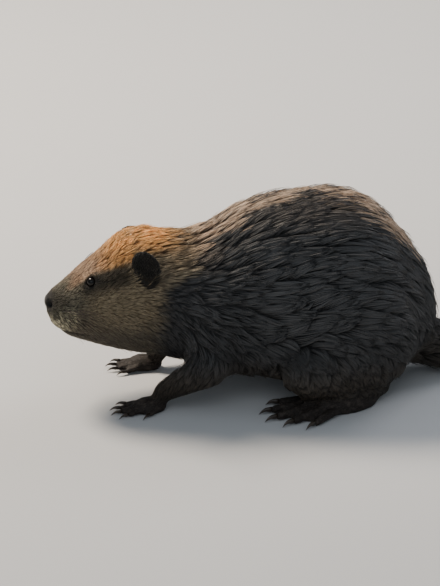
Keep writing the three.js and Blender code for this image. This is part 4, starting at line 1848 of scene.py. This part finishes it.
@dataclass
class Whiskers:
    """Whiskers on the lip pads and a few over each eye.

    Attributes:
        hide: The skin that they are rooted in.
        rows: Rows on each lip pad.
        in_row: Whiskers in a row.
        over_eye: Whiskers over each eye.
        length: The least and the greatest length.
        radius: A whisker's radius at its root.
        seed: The random draws' seed.
        rng: Where the random draws come from.
        tree: A search tree over the hide.
        bundle: The whiskers made so far.
    """

    hide: Hide
    rows: int = 4
    in_row: int = 6
    over_eye: int = 3
    length: tuple[float, float] = (0.045, 0.072)
    radius: float = 0.48 * MM
    seed: int = 3
    rng: np.random.Generator = field(init=False)
    tree: BVHTree = field(init=False)
    bundle: Bundle = field(init=False, default_factory=Bundle)

    def build(self) -> bpy.types.Object:
        """Makes the whiskers' piece.

        Returns:
            The piece.
        """
        self.rng = np.random.default_rng(self.seed)
        self.tree = self.hide.shell.tree()
        nose = HEAD.local(middle("nose"))
        for name, side in SIDES.items():
            # Places from the nose in millimetres, and ways: both as back, left and up
            for row in range(self.rows):
                for i in range(self.in_row):
                    at = nose + np.array((10.0 + 5.0 * i + 2.0 * row, -side * 30.0, -6.0 - 4.5 * row)) * MM
                    way = np.array((0.22 + 0.12 * i, -side * 0.95, 0.10 - 0.20 * row))
                    self._one(at, way + self.rng.normal(0, 0.07, 3), 0.55 + 0.45 * i / self.in_row)
            eye = HEAD.local(middle(f"eye_{name}"))
            for i in range(self.over_eye):
                at = eye + np.array((-4.0 + 4 * i, 0.0, 11.0)) * MM
                way = np.array((0.5, -side * 0.7, 0.55))
                self._one(at, way + self.rng.normal(0, 0.08, 3), 0.3)
        return self.bundle.piece("whiskers", WhiskerFinish().material(), Slot.FUR)

    def _one(self, at: np.ndarray, way: np.ndarray, share: float) -> None:
        """Adds a whisker that sets out from the hide and sags back.

        Args:
            at: Where it starts, in the head's axes, moved to the nearest place on the hide.
            way: The way it sets out, in the head's axes.
            share: Its length as a share of a full one's.
        """
        root = np.array(self.tree.find_nearest(HEAD.world(at))[0])
        way = unit(way) @ HEAD.axes
        length = self.rng.uniform(*self.length) * share
        t = np.linspace(0.0, 1.0, 8)[:, None]
        sag = np.array((0.22, 0.0, -0.20)) * length
        line = root + way * length * t + sag * t**2 - way * MM
        sides = 5
        points, faces = tube(line, self.radius * (1.0 - 0.8 * t[:, 0]), sides)
        along = np.append(np.repeat(t[:, 0], sides), (0.0, 1.0))
        self.bundle.add(points, faces, along, self.rng.random())


@dataclass
class TailScales:
    """Rows of small overlapping scales over both faces of the paddle.

    Attributes:
        hide: The skin that they lie on.
        long: A scale's length.
        wide: A scale's width.
        height: How far it stands up.
        lap: The share of its length that the next row leaves bare.
        seed: The random draws' seed.
        rng: Where the random draws come from.
        tree: A search tree over the hide.
        bundle: The scales made so far.
    """

    hide: Hide
    long: float = 4.6 * MM
    wide: float = 6.2 * MM
    height: float = 0.42 * MM
    lap: float = 0.82
    seed: int = 5
    rng: np.random.Generator = field(init=False)
    tree: BVHTree = field(init=False)
    bundle: Bundle = field(init=False, default_factory=Bundle)

    def build(self) -> bpy.types.Object:
        """Makes the scales' piece.

        Returns:
            The piece.
        """
        self.rng = np.random.default_rng(self.seed)
        self.tree = self.hide.shell.tree()
        low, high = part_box("tail_paddle")
        rows = int((high.x - low.x) / (self.long * self.lap))
        columns = int((high.y - low.y) / self.wide) + 2
        for up in (1.0, -1.0):
            for row in range(rows):
                for column in range(columns):
                    x = low.x + (row + 0.5) * self.long * self.lap
                    y = low.y + (column + 0.5 * (row % 2)) * self.wide
                    self._one(np.array((x, y, 0.0)) + self.rng.normal(0, 0.25 * MM, 3), up)
        return self.bundle.piece("tail_scales", ScaleFinish().material(), Slot.SCALES)

    def _one(self, at: np.ndarray, up: float) -> None:
        """Adds a scale where the paddle is, its rear edge raised.

        Args:
            at: Where it lies, seen from above.
            up: 1 for the upper face and -1 for the lower.
        """
        start = Vector((at[0], at[1], 0.01 + 0.10 * up))
        place, normal, _, _ = self.tree.ray_cast(start, Vector((0.0, 0.0, -up)), 0.2)
        if place is None or abs(normal.z) < 0.35:
            return
        normal = np.array(normal)
        back = tangent(np.array((1.0, 0.0, 0.0)), normal)
        across = np.cross(normal, back)
        turn = np.linspace(0.0, 2 * math.pi, 7)[:-1] + math.pi / 6
        size = self.rng.uniform(0.88, 1.04)
        lengthways = np.cos(turn)[:, None] * back * self.long * 0.62 * size
        sideways = np.sin(turn)[:, None] * across * self.wide * 0.54 * size
        rim = lengthways + sideways
        tilt = 0.5 + 0.5 * np.cos(turn)[:, None]
        base = np.array(place) + rim - normal * 0.25 * MM
        top = np.array(place) + rim * 0.74 + normal * self.height * (0.45 + 0.5 * tilt)
        points = np.vstack((base, top, np.array(place) + normal * self.height * 0.85))
        if up < 0:
            points[:, 2] = np.maximum(points[:, 2], 0.0)
        faces = [(0, 2, 1), (0, 3, 2), (0, 4, 3), (0, 5, 4)]
        for i in range(6):
            j = (i + 1) % 6
            faces += [(i, j, 6 + j), (i, 6 + j, 6 + i), (6 + i, 6 + j, 12)]
        along = np.append(np.repeat((0.0, 1.0), 6), 1.0)
        self.bundle.add(points, np.array(faces), along, self.rng.random())


@dataclass
class Claws:
    """Curved, narrow claws, one for each CAD claw and in its place.

    Attributes:
        rings: Rings from root to tip.
        sides: Faces round a claw.
        least: The radius of its tip.
    """

    rings: int = 9
    sides: int = 10
    least: float = 0.12 * MM

    def build(self) -> bpy.types.Object:
        """Makes the claws' piece.

        Returns:
            The piece.
        """
        bundle = Bundle()
        names = sorted(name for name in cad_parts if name.startswith("claw_"))
        for name in names:
            _, kind, side, _ = name.split("_")
            foot = middle(f"{'forepaw' if kind == 'fore' else 'hindfoot'}_{side}")
            points = np.array([v.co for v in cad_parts[name].data.vertices])
            tip = points[np.argmax(np.linalg.norm(points[:, :2] - foot[:2], axis=1))]
            away = np.linalg.norm(points - tip, axis=1)
            base = points[away > 0.72 * away.max()]
            root = base.mean(axis=0)
            width = np.ptp(base[:, 2]) / 2
            t = np.linspace(0.0, 1.0, self.rings)
            arch = np.sin(t * math.pi) * 0.16 * np.linalg.norm(tip - root)
            line = root + (tip - root) * t[:, None] * 0.985
            line[:, 2] += arch
            line[0] -= (tip - root) * 0.15
            shape, faces = tube(line, width * (1.0 - t**1.4) * 0.95 + self.least, self.sides, 0.72)
            shape[:, 2] = np.maximum(shape[:, 2], 0.3 * MM)
            bundle.add(shape, faces, np.append(np.repeat(t, self.sides), (0.0, 1.0)), 0.5)
        piece = bundle.piece("claws", HornFinish().material(), Slot.CLAW)
        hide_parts(*names)
        return piece


# ---- Studio ----


@dataclass(frozen=True)
class Lamp:
    """One soft light: where it stands, how large, bright and warm it is."""

    name: str
    place: tuple[float, float, float]
    size: float
    power: float
    colour: Colour


@dataclass
class Studio:
    """The floor, the lights and the camera.

    Attributes:
        azimuth: The camera's angle round from straight in front of the animal's left side, in degrees.
        elevation: Its angle above the floor, in degrees.
        distance: How far it stands off.
        shown_height: What the picture takes in from bottom to top.
        centre_right: How far the picture's middle is to the right of the frame's origin.
        centre_up: How far it is above the origin, in the picture's plane.
        sensor: The sensor's size in millimetres.
        floor_half: Half the floor's side.
        aim_height: The height that the lamps point at.
        lamps: The soft lights.
        sky: The colour of the light from all round.
        sky_strength: How bright it is.
    """

    azimuth: float = -10.0
    elevation: float = 23.0
    distance: float = 6.0
    shown_height: float = 0.7735
    centre_right: float = -0.1743
    centre_up: float = 0.1067
    sensor: float = 36.0
    floor_half: float = 12.0
    aim_height: float = 0.12
    lamps: tuple[Lamp, ...] = (
        Lamp("key", (-1.3, 1.6, 2.3), 0.9, 150.0, (1.0, 0.86, 0.70)),
        Lamp("fill", (-0.8, -2.6, 2.2), 2.6, 22.0, (0.90, 0.95, 1.0)),
        Lamp("rear", (1.9, 1.4, 1.6), 1.4, 26.0, (0.97, 0.96, 1.0)),
    )
    sky: Colour = (0.62, 0.68, 0.74)
    sky_strength: float = 0.42

    def build(self) -> None:
        """Sets up the studio."""
        self._floor()
        for lamp in self.lamps:
            self._lamp(lamp)
        world = bpy.data.worlds.new("studio")
        world.use_nodes = True
        background = world.node_tree.nodes["Background"]
        background.inputs["Color"].default_value = (*self.sky, 1.0)
        background.inputs["Strength"].default_value = self.sky_strength
        bpy.context.scene.world = world
        self._camera()

    def _floor(self) -> None:
        """A wide plain floor."""
        half = self.floor_half
        mesh = bpy.data.meshes.new("floor")
        points = [(-half, -half, 0), (half, -half, 0), (half, half, 0), (-half, half, 0)]
        mesh.from_pydata(points, [], [(0, 1, 2, 3)])
        mesh.materials.append(FloorFinish().material())
        floor = bpy.data.objects.new("floor", mesh)
        bpy.context.scene.collection.objects.link(floor)
        floor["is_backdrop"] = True

    def _lamp(self, lamp: Lamp) -> None:
        """A square soft light that faces the animal.

        Args:
            lamp: The light.
        """
        data = bpy.data.lights.new(lamp.name, "AREA")
        data.size, data.energy, data.color = lamp.size, lamp.power, lamp.colour
        light = bpy.data.objects.new(lamp.name, data)
        light.location = lamp.place
        aim = Vector((0.0, 0.0, self.aim_height)) - Vector(lamp.place)
        light.rotation_euler = aim.to_track_quat("-Z", "Y").to_euler()
        bpy.context.scene.collection.objects.link(light)

    def _camera(self) -> None:
        """A long lens at the animal's left, a little from the front and above."""
        a, e = math.radians(self.azimuth), math.radians(self.elevation)
        right = Vector((math.cos(a), math.sin(a), 0.0))
        up = Vector((-math.sin(a) * math.sin(e), math.cos(a) * math.sin(e), math.cos(e)))
        back = Vector((math.sin(a) * math.cos(e), -math.cos(a) * math.cos(e), math.sin(e)))
        data = bpy.data.cameras.new("camera")
        data.sensor_width = self.sensor
        data.lens = self.sensor * self.distance / self.shown_height
        camera = bpy.data.objects.new("camera", data)
        camera.location = right * self.centre_right + up * self.centre_up + back * self.distance
        camera.rotation_euler = (-back).to_track_quat("-Z", "Y").to_euler()
        bpy.context.scene.collection.objects.link(camera)
        bpy.context.scene.camera = camera


# ---- The whole animal ----


def corners() -> list[list[float]]:
    """The shown object's lowest and highest corner as plain lists."""
    return [list(map(float, corner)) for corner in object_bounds()]


def main() -> None:
    """Builds the animal and the studio."""
    logging.basicConfig(level=logging.INFO, format="%(name)s: %(message)s")
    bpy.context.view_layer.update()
    flesh = tuple(sorted(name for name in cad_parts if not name.startswith(("claw_", "eye_"))))
    hide = Hide(flesh)
    hide.build()
    hide.dress()
    Coat(hide).build()
    for side in SIDES:
        Eye(side).build()
    Whiskers(hide).build()
    TailScales(hide).build()
    Claws().build()
    Studio().build()


if __name__ == "__main__":
    main()
